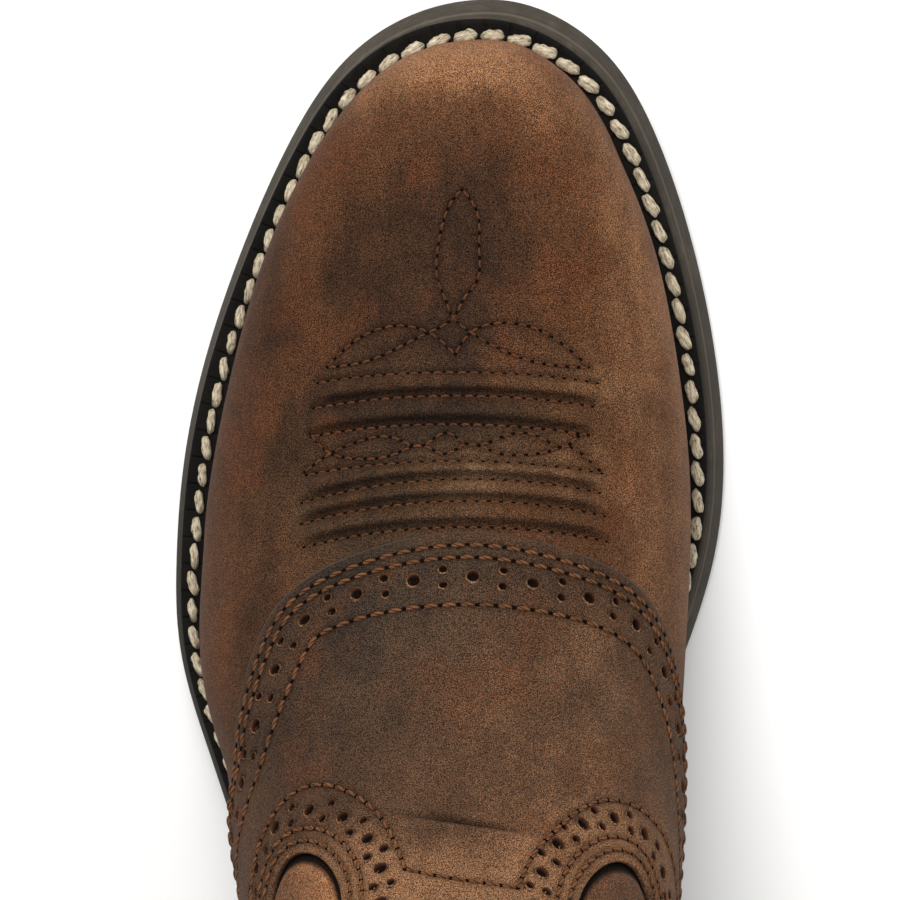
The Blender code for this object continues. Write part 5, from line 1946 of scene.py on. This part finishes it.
# %% Camera
TARGET = np.array([0.008, -0.168, 0.004])
LEAN_INNER = np.radians(4.0)
LEAN_TOE = np.radians(2.0)
DISTANCE = 1.2
back_way = unit(np.array([-np.tan(LEAN_INNER), -np.tan(LEAN_TOE), 1.0]))
right_way = unit(np.cross((0.0, -1.0, 0.0), back_way))
up_way = np.cross(back_way, right_way)
camera = bpy.data.objects.new("camera", bpy.data.cameras.new("camera"))
turned = Matrix(np.stack([right_way, up_way, back_way], 1).tolist()).to_4x4()
camera.matrix_world = Matrix.Translation((TARGET + DISTANCE * back_way).tolist()) @ turned
camera.data.lens = 240.0
camera.data.sensor_width = 36.0
camera.data.clip_end = 20.0
bpy.context.scene.collection.objects.link(camera)
bpy.context.scene.camera = camera
print("camera at", [round(v, 3) for v in camera.matrix_world.translation])

# %% Floor
FLOOR_HALF = 4.0
FLOOR_Z = -0.0005
FLOOR, tree, shader, place = new_finish("pale_floor", 0.9, 0.1)
pale = shades(tree, noise(tree, place, 3.0), ((0.3, (0.86, 0.86, 0.86)), (0.7, (0.9, 0.9, 0.9))))
feed(shader.inputs["Base Color"], pale)
floor_mesh = bpy.data.meshes.new("floor")
floor_mesh.from_pydata([(-FLOOR_HALF, -FLOOR_HALF, FLOOR_Z), (FLOOR_HALF, -FLOOR_HALF, FLOOR_Z),
                        (FLOOR_HALF, FLOOR_HALF, FLOOR_Z), (-FLOOR_HALF, FLOOR_HALF, FLOOR_Z)],
                       [], [(0, 1, 2, 3)])
floor_mesh.materials.append(FLOOR)
floor = bpy.data.objects.new("floor", floor_mesh)
bpy.context.scene.collection.objects.link(floor)
print("floor at", FLOOR_Z)

# %% Lights
FOREFOOT = (0.0, -0.15, 0.03)
INSTEP = (0.0, -0.12, 0.05)
ROOM_LIGHT = 0.34


def soft_light(name, place, aim, size, power, colour=(1.0, 1.0, 1.0)):
    """Square area light at a place, aimed at a point."""
    data = bpy.data.lights.new(name, "AREA")
    data.size, data.energy, data.color = size, power, colour
    light = bpy.data.objects.new(name, data)
    back_axis = unit(np.asarray(place, float) - np.asarray(aim, float))
    side_axis = unit(np.cross((0.0, 1.0, 0.01), back_axis))
    axes = np.stack([side_axis, np.cross(back_axis, side_axis), back_axis], 1)
    light.matrix_world = Matrix.Translation(place) @ Matrix(axes.tolist()).to_4x4()
    bpy.context.scene.collection.objects.link(light)


soft_light("toe_softbox", (0.24, -1.10, 1.20), FOREFOOT, 0.8, 22.0, (1.0, 0.98, 0.95))
soft_light("top_softbox", (-0.10, -0.25, 1.70), FOREFOOT, 1.1, 11.0)
soft_light("outer_fill", (1.0, 0.1, 0.9), INSTEP, 0.8, 1.6)
soft_light("inner_fill", (-0.9, 0.1, 1.0), INSTEP, 0.8, 3.4)
world = bpy.data.worlds.new("studio_air")
world.use_nodes = True
air = world.node_tree.nodes["Background"]
air.inputs["Color"].default_value = (1.0, 1.0, 1.0, 1.0)
air.inputs["Strength"].default_value = ROOM_LIGHT
bpy.context.scene.world = world
bpy.context.scene.view_settings.view_transform = "Standard"
print("lights:", len(bpy.data.lights))
